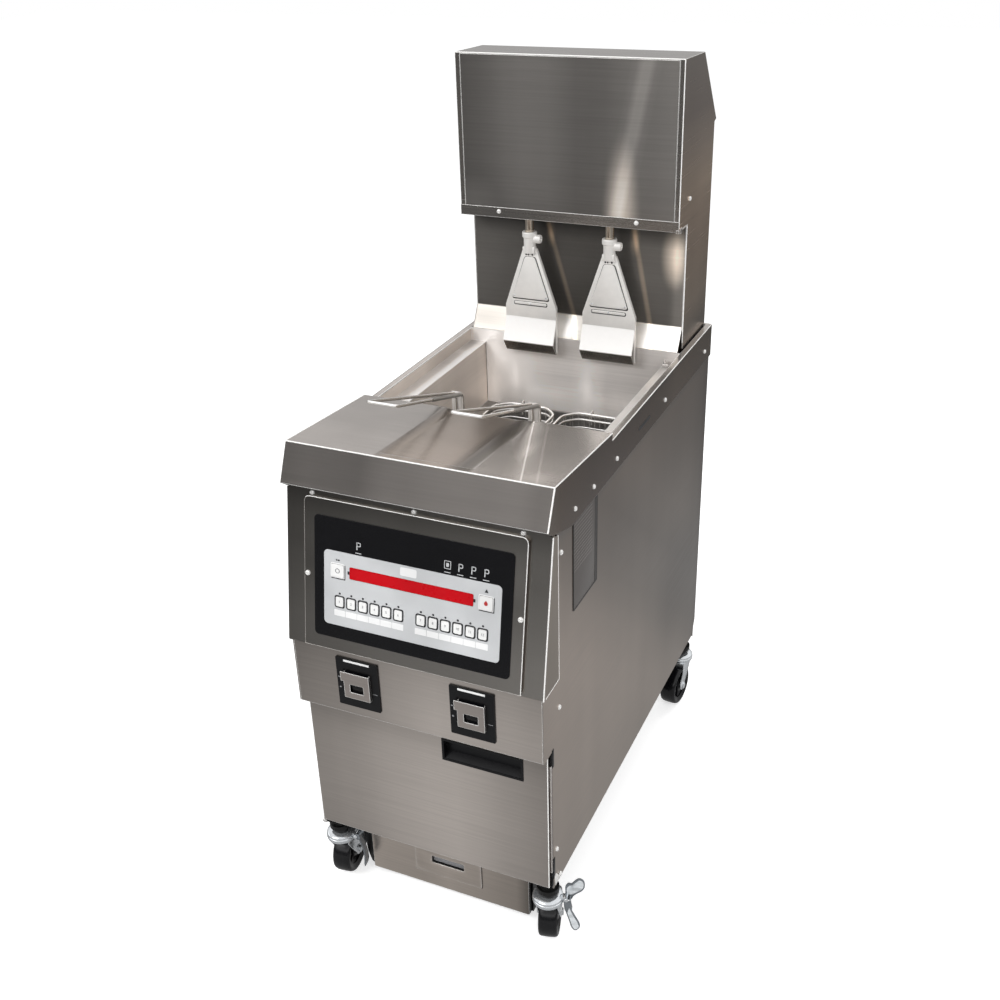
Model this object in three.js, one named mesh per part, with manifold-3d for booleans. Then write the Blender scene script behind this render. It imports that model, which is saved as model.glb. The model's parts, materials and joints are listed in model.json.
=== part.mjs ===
// Floor deep fryer: a cabinet on four casters with a frypot, a slanted control panel and a
// tower at the back whose two lift arms lower and raise the baskets.
// Millimetres. +X is the right side seen from the front, +Y the back, +Z up.
import * as THREE from "three";
import { mergeVertices } from "three/addons/utils/BufferGeometryUtils.js";
import Module from "manifold-3d";

const wasm = await Module();
wasm.setup();

// Driving dimensions

const sheet = 2;
const gap = 0.3;
const cutOver = 5;
const roundSides = 24;
const smallSides = 12;
const cornerSegments = 4;
const wireSegments = 3;
const stepsPerUnit = 1024;
const mergeDistance = 1e-3;
const mendDistance = 0.02;

const deckWidth = 505;
const deckFrontY = -460;
const deckRearY = -188;
const deckFrontZ = 1006;
const deckFall = 21;
const railOverhang = 5;
const deckRailStep = 14;
const railWidth = 12.5;
const sideApronHeight = 72;
const apronLean = 31;
const apronHeight = 68;
const apronCornerRun = 20;
const apronCornerDrop = 14;
const apronChamferY = -390;

const panelRearY = 459;
const panelBottomZ = 162;
const panelLowerSetBack = 37;
const rearCornerChamfer = 38;

const ledgeWidth = 35;
const ledgeDrop = 28;
const potWallHeight = 142;
const potShelfWidth = 26;
const coldZoneDepth = 51.7;
const potFrontInset = 23;
const backsplashFlange = 27;
const potRearRise = 0.7;

const towerInset = 16;
const towerHeight = 323;
const towerFrontY = 233;
const towerTopDepth = 130;
const towerTopFall = 4;
const towerLipReach = 12;
const towerLipDrop = 147;
const towerRearInset = 1;
const towerBottomRise = 262;
const towerReturn = 10;
const coverStripHeight = 21;
const backsplashDepth = 56;
const backsplashBendRise = 48;

const housingSpread = 1;
const faceTopOut = 10;
const faceTopDrop = 84;
const faceRun = 51;
const faceHeight = 291;
const housingDepth = 20;
const housingTopFall = 7.5;
const housingTongueHeight = 20;
const housingTongueInset = 6;

const bezelInset = 39.5;
const bezelTop = 8;
const bezelBottom = 293;
const bezelRise = 7;
const bezelRadius = 9;
const overlayInset = 22;
const overlayTop = 38;
const overlayBottom = 267;
const overlayThickness = 1.2;
const overlayRadius = 8;
const displayMargin = 12;
const displayTop = 125;
const displayBottom = 147;
const displayThickness = 1.6;
const keyCountPerBank = 6;
const keyPitch = 23.6;
const bankCentre = 81;
const keyWidth = 15;
const keyHeight = 18;
const keyDown = 194.5;
const keyProud = 1.6;
const keyDepth = 4.5;
const powerKeySize = 24;
const powerKeyInset = 48;
const powerKeyDown = 136;
const keyRadius = 2.5;

const switchPanelInset = 6;
const switchPanelDrop = 3;
const switchPanelHeight = 139;
const switchPanelDepth = 40;
const switchPlateX = 115.5;
const switchPlateWidth = 87;
const switchPlateHeight = 105;
const switchPlateDrop = 14;
const switchPlateThickness = 2.5;
const guardWidth = 53;
const guardHeight = 55;
const guardDrop = 27;
const guardStand = 6;
const guardSheet = 1.5;
const guardTabWidth = 6;
const guardTabHeight = 20;
const guardHoleWidth = 28;
const guardHoleHeight = 18;
const guardHoleDown = 24;
const rockerWidth = 24;
const rockerHeight = 26;
const rockerProud = 2.4;
const rockerDepth = 10;
const rockerTilt = 0.14;
const rockerCrownShare = 0.6;
const rockerTaperShare = 0.7;

const doorLeftGap = 2.2;
const doorRightGap = 4.2;
const doorSetBack = 25.2;
const doorBottomZ = 172;
const doorTopClearance = 5;
const doorDepth = 18;
const hingePinRadius = 2;
const hingePinInsetX = 4.4;
const hingePinInsetY = 4.8;
const hingePinLength = 12;
const hingeLeafWidth = 14;
const hingeLeafInset = 4;
const handleLeftX = 37;
const handleWidth = 160;
const handleDrop = 21;
const handleHeight = 46;
const handleDepth = 16;
const handleWall = 2.5;
const handleLip = 2;
const handleLipThickness = 1;
const handleTaper = 12;

const casterInset = 7.2;
const casterFrontY = -460;
const casterRearInset = 47;
const casterTrail = 30;
const wheelRadius = 50;
const wheelWidth = 32;
const wheelSides = 32;
const hubWidth = 34;
const hubRadius = 18;
const axleRadius = 5;
const wheelRim = 5;
const wheelDish = 4;
const treadInset = 8;
const wheelFlatInset = 7.5;
const wheelWebInset = 10;
const casterHeight = 128;
const racewayRadius = 30.5;
const racewayHeight = 21;
const forkSheet = 3;
const forkLegWidth = 30;
const forkLegTaper = 11;
const axleEnd = 4;
const leverPivotOut = 36;
const leverPivotDrop = 6;
const leverUpperReach = 21;
const leverUpperRise = 22;
const leverLowerReach = 14;
const leverLowerDrop = 82;
const leverWidth = 20;
const leverThickness = 2.5;
const leverHubRadius = 4.5;
const leverCheekHeight = 13.5;
const frontLeftYaw = 7;
const frontRightYaw = 15;
const rearLeftYaw = 190;
const rearRightYaw = 174;

const frameHeight = 20;
const frameTube = 25;
const frameInset = 12;
const frameFrontOut = 12;
const postHeight = 20;
const postRadius = 22;
const frameFrontCrossInset = 32;
const frameMidCrossY = 180;

const panInset = 61.2;
const panFrontInset = 11;
const panRearReach = 10;
const panBottomZ = 17;
const panHeight = 112;
const panSheet = 2;
const panSlotWidth = 72;
const panSlotTop = 99;
const panSlotHeight = 17;
const panBossWidth = 150;
const panBossBottom = 50;
const panBossRise = 3;
const panRailLip = 12;
const panRailThickness = 2.5;

const liftX = 88;
const liftInset = 14;
const rodRadius = 9.5;
const rodDrop = 59;
const rodLength = 350;
const collarTopDrop = 28;
const collarHeight = 38;
const collarRadius = 12.5;
const collarFlangeRadius = 15.5;
const collarFlangeHeight = 5;
const clampScrewRadius = 9;
const clampScrewReach = 26;
const hangerNeckWidth = 29;
const hangerWidth = 116;
const hangerFlare = 125;
const hangerBodyHeight = 32;
const hangerNoseHeight = 44;
const hangerNoseReach = 19;
const hangerNoseFall = 27;
const hangerSheet = 2.5;
const hangerFlange = 10;
const hangerEmbossRise = 1;
const embossTopShare = 0.88;
const embossHalfShare = 0.34;
const hangerBarShare = 0.3;
const hangerBarHeight = 5;
const hangerNoseLap = 4;

const basketWidth = 150;
const basketFrontGap = 70;
const basketRearGap = 40;
const basketRimRise = 25;
const basketHeight = 155;
const basketWall = 3;
const basketRim = 3.5;
const basketRadius = 18;
const basketLeftX = -86;
const basketRightX = 76;
const handleOffset = -14;
const handleWire = 3.2;
const handleRearSpread = 11;
const handleFrontSpread = 25;
const handleTopRise = 146;
const handleRun = 317;
const handleClimb = 106;
const handleBend = 22;
const handleLoopShare = 0.8;
const handleSteps = 64;
const hookPlateWidth = 25;
const hookPlateHeight = 60;
const hookPlateThickness = 2;

const rackThickness = 6;
const rackBar = 8;
const rackSlots = 7;
const elementRadius = 5;
const elementRise = 29;
const elementInnerX = 35;
const elementInset = 29;
const elementFrontY = -110;
const elementBlockHeight = 30;
const elementBlockDepth = 14;
const elementTipShare = 0.2;
const elementTipSetBack = 14.375;
const elementSteps = 40;
const elementSides = 8;

const drainRise = 55;
const drainPipeRadius = 14;
const drainReach = 72;
const drainEndZ = 150;
const valveRadius = 19;
const valveLength = 34;
const stemRadius = 6;
const stemLength = 14;
const valveLeverLength = 105;
const valveLeverWidth = 18;
const valveLeverThickness = 5;

const pumpMotorRadius = 46;
const pumpMotorLength = 170;
const pumpY = 330;
const pumpBaseWidth = 110;
const pumpHeadWidth = 50;
const driveShoulder = 23;
const driveDepth = 34;
const driveWall = 1.5;
const driveRise = 57;
const driveHeight = 34;
const driveMotorRadius = 24;
const driveMotorHeight = 90;
const drivePedestalWidth = 60;

const glandX = 150;
const glandZ = 260;
const glandRadius = 21;
const glandBore = 13;
const glandLength = 18;

const channelLeftX = -80;
const channelRightX = 103;
const channelFloorLeftX = -58;
const channelFloorRightX = 69;
const channelDepth = 3;
const channelFrontInset = 17;
const deckThickness = 5;

// Sizes that follow from the driving dimensions

const halfDeck = deckWidth / 2;
const deckRearZ = deckFrontZ - deckFall;
const railTopZ = deckRearZ - deckRailStep;
const railRearY = panelRearY + railOverhang;
const railInnerX = halfDeck - railWidth;
const railUnderZ = railTopZ - sheet;
const sideOuterX = halfDeck - sheet - gap;
const sideInnerX = sideOuterX - sheet;
const panelTopZ = railUnderZ - gap;

const faceTopY = deckFrontY - faceTopOut;
const faceTopZ = deckFrontZ - faceTopDrop;
const faceBottomY = faceTopY - faceRun;
const faceBottomZ = faceTopZ - faceHeight;
const faceTilt = Math.atan2(faceRun, faceHeight);
const housingWidth = deckWidth + 2 * housingSpread;
const housingRearY = faceTopY + housingDepth;
const panelUpperFrontY = housingRearY + gap;
const bezelWidth = housingWidth - 2 * bezelInset;
const overlayWidth = bezelWidth - 2 * overlayInset;
const overlayFace = bezelRise + gap + overlayThickness;
const powerKeyX = overlayWidth / 2 - powerKeyInset;
const displayWidth = 2 * powerKeyX - powerKeySize - 2 * displayMargin;
const switchPanelFrontY = faceBottomY + switchPanelInset;
const switchPanelTopZ = faceBottomZ - switchPanelDrop;
const switchPanelBottomZ = switchPanelTopZ - switchPanelHeight;
const switchPlateTopZ = switchPanelTopZ - switchPlateDrop;
const guardTopZ = switchPlateTopZ - guardDrop;
const rockerZ = guardTopZ - guardHoleDown - guardHoleHeight / 2;

const panelLowerFrontY = switchPanelFrontY + panelLowerSetBack;
const doorLeftX = doorLeftGap - sideOuterX;
const doorRightX = sideOuterX - doorRightGap;
const doorFrontY = switchPanelFrontY + doorSetBack;
const doorTopZ = switchPanelBottomZ - doorTopClearance;
const handleTopZ = doorTopZ - handleDrop;
const pinX = doorLeftX + hingePinInsetX;
const pinY = doorFrontY + hingePinInsetY;

const towerWidth = deckWidth - 2 * towerInset;
const halfTower = towerWidth / 2;
const towerRearY = panelRearY - towerRearInset;
const towerLipY = towerRearY + towerLipReach;
const towerTopRearY = towerFrontY + towerTopDepth;
const towerBottomZ = railTopZ + towerBottomRise;
const towerTopZ = towerBottomZ + towerHeight;
const towerLipZ = towerTopZ - towerLipDrop;
const backsplashY = towerFrontY + backsplashDepth;
const backsplashBendZ = railTopZ + backsplashBendRise;

const ledgeZ = railTopZ - ledgeDrop;
const potFrontY = deckRearY + potFrontInset;
const potRearY = backsplashY - backsplashFlange;
const potTopZ = railUnderZ - gap;
const potRearTopZ = railTopZ + potRearRise;
const potHalfX = railInnerX - ledgeWidth;
const potShelfZ = ledgeZ - potWallHeight;
const potLowerHalfX = potHalfX - potShelfWidth;
const basketFrontY = potFrontY + basketFrontGap;
const basketRearY = potRearY - basketRearGap;
const basketRimZ = potShelfZ + basketRimRise;
const basketBottomZ = basketRimZ - basketHeight;
const rackTopZ = basketBottomZ - gap;
const potBottomZ = rackTopZ - rackThickness - coldZoneDepth;
const elementOuterX = potLowerHalfX - elementInset;
const elementZ = potBottomZ + elementRise;
const drainZ = potBottomZ + drainRise;

const liftY = towerFrontY + liftInset;
const rodBottomZ = towerBottomZ - rodDrop;
const collarTopZ = towerBottomZ - collarTopDrop;
const collarBottomZ = collarTopZ - collarHeight;
const hangerShoulderZ = collarBottomZ - hangerFlare;
const hangerBendZ = hangerShoulderZ - hangerBodyHeight;
const hangerNoseZ = hangerBendZ - hangerNoseHeight;
const hangerBottomZ = hangerNoseZ - hangerNoseFall;
const hangerFrontY = -hangerSheet / 2;
const driveWidth = 2 * (liftX + driveShoulder);
const driveBottomZ = towerBottomZ + driveRise;

const frameBottomZ = casterHeight + postHeight;
const frameTopZ = frameBottomZ + frameHeight;
const frameOuterX = sideOuterX - frameInset;
const frameFrontY = casterFrontY - frameFrontOut;
const frameFrontCrossY = frameFrontY + frameFrontCrossInset;
const casterX = frameOuterX - casterInset;
const casterRearY = panelRearY - casterRearInset;
const panHalfWidth = frameOuterX - panInset;
const panFrontY = frameFrontCrossY + panFrontInset;
const panRearY = frameMidCrossY + panRearReach;
const axleZ = wheelRadius * Math.cos(Math.PI / wheelSides);

// Finishes

const steel = { color: 0x8d8781, roughness: 0.35, metalness: 1 };
const darkSteel = { color: 0x5f5b57, roughness: 0.35, metalness: 1 };
const paleSteel = { color: 0xd4d1cb, roughness: 0.4, metalness: 0.9 };
const brightSteel = { color: 0xdedede, roughness: 0.2, metalness: 1 };
const blackPlastic = { color: 0x16171a, roughness: 0.45, metalness: 0 };
const blackPaint = { color: 0x101010, roughness: 0.5, metalness: 0 };
const blackRubber = { color: 0x0d0d0e, roughness: 0.35, metalness: 0 };
const whiteKey = { color: 0xf2f2f2, roughness: 0.5, metalness: 0 };
const redGlass = { color: 0xc3000a, roughness: 0.15, metalness: 0 };
const copperRod = { color: 0xb9b2a8, roughness: 0.15, metalness: 1 };

// Solids from three.js geometry: corners are set on a fine grid, so that faces meant to lie
// in one plane do

function solidOf(geometry) {
  const bare = geometry.index ? geometry.toNonIndexed() : geometry.clone();
  bare.deleteAttribute("normal");
  bare.deleteAttribute("uv");
  const place = bare.attributes.position.array;
  place.forEach((value, i) => {
    place[i] = Math.round(value * stepsPerUnit) / stepsPerUnit;
  });
  const merged = mergeVertices(bare, mergeDistance);
  const corners = merged.attributes.position.array;
  const faces = [];
  const index = merged.index.array;
  let volume = 0;
  for (let i = 0; i < index.length; i += 3) {
    const [a, b, c] = [index[i], index[i + 1], index[i + 2]];
    if (a === b || b === c || a === c) continue;
    faces.push(a, b, c);
    const p = new THREE.Vector3().fromArray(corners, 3 * a);
    const q = new THREE.Vector3().fromArray(corners, 3 * b);
    const r = new THREE.Vector3().fromArray(corners, 3 * c);
    volume += p.dot(q.cross(r));
  }
  if (volume < 0) faces.reverse();
  const mesh = new wasm.Mesh({
    numProp: 3,
    vertProperties: new Float32Array(corners),
    triVerts: new Uint32Array(faces),
  });
  return new wasm.Manifold(mesh);
}

function geometryOf(solid) {
  const mesh = solid.asOriginal().simplify(mendDistance).getMesh();
  const geometry = new THREE.BufferGeometry();
  geometry.setAttribute("position", new THREE.BufferAttribute(mesh.vertProperties, 3));
  geometry.setIndex(new THREE.BufferAttribute(mesh.triVerts, 1));
  const flat = geometry.toNonIndexed();
  flat.computeVertexNormals();
  return flat;
}

function outline(points) {
  return new THREE.Shape(points.map(([u, v]) => new THREE.Vector2(u, v)));
}

function roundedOutline(u0, u1, v0, v1, radius) {
  const shape = new THREE.Shape();
  shape.moveTo(u0 + radius, v0);
  shape.lineTo(u1 - radius, v0);
  shape.absarc(u1 - radius, v0 + radius, radius, -Math.PI / 2, 0, false);
  shape.lineTo(u1, v1 - radius);
  shape.absarc(u1 - radius, v1 - radius, radius, 0, Math.PI / 2, false);
  shape.lineTo(u0 + radius, v1);
  shape.absarc(u0 + radius, v1 - radius, radius, Math.PI / 2, Math.PI, false);
  shape.lineTo(u0, v0 + radius);
  shape.absarc(u0 + radius, v0 + radius, radius, Math.PI, 1.5 * Math.PI, false);
  return shape;
}

function extruded(shape, depth) {
  return new THREE.ExtrudeGeometry(shape, { depth, bevelEnabled: false, curveSegments: cornerSegments });
}

// An outline in (y, z), carried from x0 to x1.
function alongX(shape, x0, x1) {
  const turn = new THREE.Matrix4().makeBasis(
    new THREE.Vector3(0, 1, 0),
    new THREE.Vector3(0, 0, 1),
    new THREE.Vector3(1, 0, 0),
  );
  return solidOf(extruded(shape, x1 - x0).applyMatrix4(turn).translate(x0, 0, 0));
}

// An outline in (x, z), carried from y0 to y1.
function alongY(shape, y0, y1) {
  const turn = new THREE.Matrix4().makeBasis(
    new THREE.Vector3(1, 0, 0),
    new THREE.Vector3(0, 0, 1),
    new THREE.Vector3(0, -1, 0),
  );
  return solidOf(extruded(shape, y1 - y0).applyMatrix4(turn).translate(0, y1, 0));
}

// An outline in (x, y), carried from z0 to z1.
function alongZ(shape, z0, z1) {
  return solidOf(extruded(shape, z1 - z0).translate(0, 0, z0));
}

function block(x0, x1, y0, y1, z0, z1) {
  const box = new THREE.BoxGeometry(x1 - x0, y1 - y0, z1 - z0);
  return solidOf(box.translate((x0 + x1) / 2, (y0 + y1) / 2, (z0 + z1) / 2));
}

function barZ(x, y, radius, z0, z1, sides = roundSides) {
  const bar = new THREE.CylinderGeometry(radius, radius, z1 - z0, sides);
  return solidOf(bar.rotateX(Math.PI / 2).translate(x, y, (z0 + z1) / 2));
}

function barY(x, z, radius, y0, y1, sides = roundSides) {
  const bar = new THREE.CylinderGeometry(radius, radius, y1 - y0, sides);
  return solidOf(bar.translate(x, (y0 + y1) / 2, z));
}

function barX(y, z, radius, x0, x1, sides = roundSides) {
  const bar = new THREE.CylinderGeometry(radius, radius, x1 - x0, sides);
  return solidOf(bar.rotateZ(Math.PI / 2).translate((x0 + x1) / 2, y, z));
}

// A profile in (radius, height) turned about the vertical line through (x, y).
function turnedZ(profile, x, y, sides = roundSides) {
  const points = profile.map(([r, h]) => new THREE.Vector2(r, h));
  return solidOf(new THREE.LatheGeometry(points, sides).rotateX(Math.PI / 2).translate(x, y, 0));
}

function tube(curve, radius, steps, sides) {
  const section = new THREE.Shape();
  for (let i = 0; i < sides; i += 1) {
    const angle = (2 * Math.PI * i) / sides;
    const [u, v] = [radius * Math.cos(angle), radius * Math.sin(angle)];
    if (i === 0) section.moveTo(u, v);
    else section.lineTo(u, v);
  }
  return solidOf(new THREE.ExtrudeGeometry(section, { steps, extrudePath: curve }));
}

function cut(solid, ...tools) {
  return tools.reduce((left, tool) => left.subtract(tool), solid);
}

function join(first, ...rest) {
  return rest.reduce((whole, other) => whole.add(other), first);
}

const fryer = new THREE.Group();

function piece(name, solid, finish, parent = fryer) {
  const mesh = new THREE.Mesh(geometryOf(solid), new THREE.MeshStandardMaterial(finish));
  mesh.name = name;
  parent.add(mesh);
  return mesh;
}

// Base frame: tubes on four posts, the drawer rails of the filter pan and the lower door pin

function baseFrame() {
  const [z0, z1] = [frameBottomZ, frameTopZ];
  const frontY = frameFrontY;
  const rearY = panelRearY - sheet - gap;
  const innerX = frameOuterX - frameTube;
  const crossRight = innerX + gap;
  const parts = [
    block(innerX, frameOuterX, frontY, rearY, z0, z1),
    block(-frameOuterX, -innerX, frontY, rearY, z0, z1),
    block(-crossRight, crossRight, frameFrontCrossY, frameFrontCrossY + frameTube, z0, z1),
    block(-crossRight, crossRight, frameMidCrossY, frameMidCrossY + frameTube, z0, z1),
    block(-crossRight, crossRight, rearY - frameTube, rearY, z0, z1),
  ];
  const postRoot = frameBottomZ + frameHeight / 2;
  for (const side of [-1, 1]) {
    for (const y of [casterFrontY, casterRearY]) {
      parts.push(barZ(side * casterX, y, postRadius - postRadius / 4, casterHeight + gap, postRoot));
      parts.push(barZ(side * casterX, y, postRadius, casterHeight + postHeight / 2, frameBottomZ + gap));
    }
    const wallInner = panHalfWidth + 2 * gap;
    const wallOuter = wallInner + panRailThickness;
    const lipTop = panBottomZ - gap;
    const lipBottom = lipTop - panRailThickness;
    const railProfile = outline([
      [side * (wallOuter - panRailLip), lipBottom],
      [side * wallOuter, lipBottom],
      [side * wallOuter, z0 + gap],
      [side * wallInner, z0 + gap],
      [side * wallInner, lipTop],
      [side * (wallOuter - panRailLip), lipTop],
    ]);
    parts.push(alongY(railProfile, frameFrontCrossY + frameTube - gap, frameMidCrossY + frameTube));
  }
  const leafLeft = pinX - hingeLeafInset;
  const leafRight = leafLeft + frameTube + hingeLeafWidth;
  parts.push(block(leafLeft, leafRight, pinY - hingeLeafInset, frontY + frameTube, z1 - sheet, z1));
  parts.push(barZ(pinX, pinY, hingePinRadius, z1 - sheet, doorBottomZ + hingePinLength, smallSides));
  parts.push(barZ(pinX, pinY, 2 * hingePinRadius, z1 - sheet, doorBottomZ - gap, smallSides));
  return join(...parts);
}
piece("base_frame", baseFrame(), blackPaint);

// Side, rear and switch panels of the cabinet

function sidePanel(side) {
  const shape = outline([
    [panelLowerFrontY, panelBottomZ],
    [panelRearY - rearCornerChamfer / 2, panelBottomZ],
    [panelRearY, panelBottomZ + rearCornerChamfer],
    [panelRearY, panelTopZ],
    [panelUpperFrontY, panelTopZ],
    [panelUpperFrontY, switchPanelTopZ],
    [switchPanelFrontY, switchPanelTopZ],
    [switchPanelFrontY, switchPanelBottomZ],
    [panelLowerFrontY, switchPanelBottomZ],
  ]);
  const [x0, x1] = side < 0 ? [-sideOuterX, -sideInnerX] : [sideInnerX, sideOuterX];
  return alongX(shape, x0, x1);
}
piece("left_side_panel", sidePanel(-1), steel);
piece("right_side_panel", sidePanel(1), steel);

function rearPanel() {
  const x1 = sideInnerX - gap;
  const y0 = panelRearY - sheet;
  const plate = block(-x1, x1, y0, panelRearY, frameBottomZ, railUnderZ - gap);
  const gland = barY(glandX, glandZ, glandRadius, y0, panelRearY + glandLength);
  const bore = barY(glandX, glandZ, glandBore, y0 - cutOver, panelRearY + glandLength + cutOver);
  return cut(join(plate, gland), bore);
}
piece("rear_panel", rearPanel(), steel);

// Deck: sloping front work surface, leaning apron, side aprons and the rails beside the frypot

function deck() {
  const lower = railTopZ - sideApronHeight;
  const apronBottomY = deckFrontY - apronLean;
  const apronBottomZ = deckFrontZ - apronHeight;
  const sideShape = outline([
    [deckFrontY, deckFrontZ],
    [apronBottomY, apronBottomZ],
    [apronBottomY + apronCornerRun, apronBottomZ - apronCornerDrop],
    [apronChamferY, lower],
    [railRearY, lower],
    [railRearY, railTopZ],
    [deckRearY, railTopZ],
    [deckRearY, deckRearZ],
  ]);
  const left = alongX(sideShape, -halfDeck, -halfDeck + sheet);
  const right = alongX(sideShape, halfDeck - sheet, halfDeck);
  const slabShape = outline([
    [deckFrontY, deckFrontZ],
    [deckFrontY + sheet, deckFrontZ - deckThickness],
    [deckRearY - sheet, deckRearZ - deckThickness],
    [deckRearY - sheet, railUnderZ],
    [deckRearY, railUnderZ],
    [deckRearY, deckRearZ],
  ]);
  const slab = alongX(slabShape, -halfDeck, halfDeck);
  const apronShape = outline([
    [deckFrontY, deckFrontZ],
    [apronBottomY, apronBottomZ],
    [apronBottomY + sheet, apronBottomZ],
    [deckFrontY + sheet, deckFrontZ - deckThickness],
  ]);
  const apron = alongX(apronShape, -halfDeck, halfDeck);
  const railLeft = block(-halfDeck, -railInnerX, deckRearY - sheet, railRearY, railUnderZ, railTopZ);
  const railRight = block(railInnerX, halfDeck, deckRearY - sheet, railRearY, railUnderZ, railTopZ);
  const rearStrip = block(-halfDeck, halfDeck, towerRearY + gap, railRearY, railUnderZ, railTopZ);
  return cut(join(slab, apron, left, right, railLeft, railRight, rearStrip), channel());
}

// The shallow channel pressed into the work surface, tilted with it.
function channel() {
  const fall = Math.atan2(deckFall, deckRearY - deckFrontY);
  const length = Math.hypot(deckFall, deckRearY - deckFrontY);
  const over = channelDepth / 2;
  const leftSpread = (channelFloorLeftX - channelLeftX) * over / channelDepth;
  const rightSpread = (channelRightX - channelFloorRightX) * over / channelDepth;
  const shape = outline([
    [channelLeftX - leftSpread, over],
    [channelRightX + rightSpread, over],
    [channelFloorRightX, -channelDepth],
    [channelFloorLeftX, -channelDepth],
  ]);
  const turn = new THREE.Matrix4().makeBasis(
    new THREE.Vector3(1, 0, 0),
    new THREE.Vector3(0, 0, 1),
    new THREE.Vector3(0, -1, 0),
  );
  const body = extruded(shape, length + cutOver - channelFrontInset).applyMatrix4(turn);
  body.translate(0, length + cutOver, 0).rotateX(-fall).translate(0, deckFrontY, deckFrontZ);
  return solidOf(body);
}
piece("deck", deck(), steel);

// Frypot: ledges beside the rails, a deep upper tank, a shelf and a narrower lower tank

function frypot() {
  const topFrontY = deckRearY - gap;
  const outer = join(
    block(-railInnerX - sheet, railInnerX + sheet, topFrontY, potRearY + sheet, ledgeZ - sheet, potTopZ),
    block(-railInnerX, railInnerX, potRearY, potRearY + sheet, ledgeZ, potRearTopZ),
    block(
      -potHalfX - sheet, potHalfX + sheet,
      potFrontY - sheet, potRearY + sheet,
      potShelfZ - sheet, ledgeZ,
    ),
    block(
      -potLowerHalfX - sheet, potLowerHalfX + sheet,
      potFrontY - sheet, potRearY + sheet,
      potBottomZ - sheet, potShelfZ,
    ),
  );
  const holes = [
    block(-railInnerX, railInnerX, topFrontY + sheet, potRearY, ledgeZ, potTopZ + cutOver),
    block(-potHalfX, potHalfX, potFrontY, potRearY, potShelfZ, ledgeZ + cutOver),
    block(-potLowerHalfX, potLowerHalfX, potFrontY, potRearY, potBottomZ, potShelfZ + cutOver),
    barY(0, drainZ, drainPipeRadius - sheet, potFrontY - cutOver, potFrontY + cutOver),
  ];
  return cut(outer, ...holes);
}
piece("frypot", frypot(), paleSteel);

// Rack at the bottom of the upper tank, with slots, resting on the tank's lower walls

function rack() {
  const x1 = potLowerHalfX - gap;
  const y0 = potFrontY + gap;
  const y1 = potRearY - gap;
  const z0 = rackTopZ - rackThickness;
  const slotLength = y1 - y0 - 2 * rackBar;
  const pitch = (2 * x1 - rackBar) / rackSlots;
  const slots = [];
  for (let i = 0; i < rackSlots; i += 1) {
    const left = -x1 + rackBar + i * pitch;
    const slotFront = y0 + rackBar;
    slots.push(block(
      left, left + pitch - rackBar,
      slotFront, slotFront + slotLength,
      z0 - cutOver, rackTopZ + cutOver,
    ));
  }
  return cut(block(-x1, x1, y0, y1, z0, rackTopZ), ...slots);
}
piece("basket_rack", rack(), brightSteel);

// Heating element: two hairpins below the rack on a terminal block at the tank's rear wall

function heatingElement() {
  const blockFrontY = potRearY - gap - elementBlockDepth;
  const half = elementBlockHeight / 2;
  const reach = elementOuterX + half;
  const parts = [
    block(-reach, reach, blockFrontY, potRearY - gap, elementZ - half, elementZ + half),
  ];
  for (const side of [-1, 1]) {
    const middleX = (elementInnerX + elementOuterX) / 2;
    const bend = (elementOuterX - elementInnerX) / 2;
    const startY = blockFrontY + elementBlockDepth / 2;
    const path = new THREE.CurvePath();
    const inner = new THREE.Vector3(side * elementInnerX, startY, elementZ);
    const innerEnd = new THREE.Vector3(side * elementInnerX, elementFrontY + bend, elementZ);
    const outerEnd = new THREE.Vector3(side * elementOuterX, elementFrontY + bend, elementZ);
    const outer = new THREE.Vector3(side * elementOuterX, startY, elementZ);
    const tipA = new THREE.Vector3(side * elementInnerX, elementFrontY, elementZ);
    const tipB = new THREE.Vector3(side * elementOuterX, elementFrontY, elementZ);
    const tip = new THREE.Vector3(side * middleX, elementFrontY + elementTipSetBack, elementZ);
    path.add(new THREE.LineCurve3(inner, innerEnd));
    path.add(new THREE.QuadraticBezierCurve3(innerEnd, tipA.lerp(tip, elementTipShare), tip));
    path.add(new THREE.QuadraticBezierCurve3(tip, tipB.lerp(tip, elementTipShare), outerEnd));
    path.add(new THREE.LineCurve3(outerEnd, outer));
    parts.push(tube(path, elementRadius, elementSteps, elementSides));
  }
  return join(...parts);
}
piece("heating_element", heatingElement(), darkSteel);

// Drain valve below the tank front, with its lever

function drainValve() {
  const y0 = potFrontY - sheet - gap;
  const frontY = y0 - drainReach;
  const valveY = frontY + valveLength / 2;
  return join(
    barY(0, drainZ, drainPipeRadius, frontY, y0),
    barY(0, drainZ, valveRadius, frontY, frontY + valveLength),
    barZ(0, valveY, drainPipeRadius, drainEndZ, drainZ),
    barY(0, drainZ, stemRadius, frontY - stemLength, frontY + cutOver, smallSides),
  );
}
piece("drain_valve", drainValve(), brightSteel);

function valveLever() {
  const y1 = potFrontY - sheet - gap - drainReach - gap;
  const y0 = y1 - valveLeverThickness;
  const half = valveLeverWidth / 2;
  const arm = block(0, valveLeverLength, y0, y1, drainZ - half, drainZ + half);
  const eye = barY(0, drainZ, half + stemRadius / 2, y0, y1);
  const bore = barY(0, drainZ, stemRadius + gap, y0 - cutOver, y1 + cutOver, smallSides);
  return cut(join(arm, eye), bore);
}
piece("drain_valve_lever", valveLever(), { color: 0xb01018, roughness: 0.5, metalness: 0 });

// Filter pump and motor on the frame's rear tubes

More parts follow.
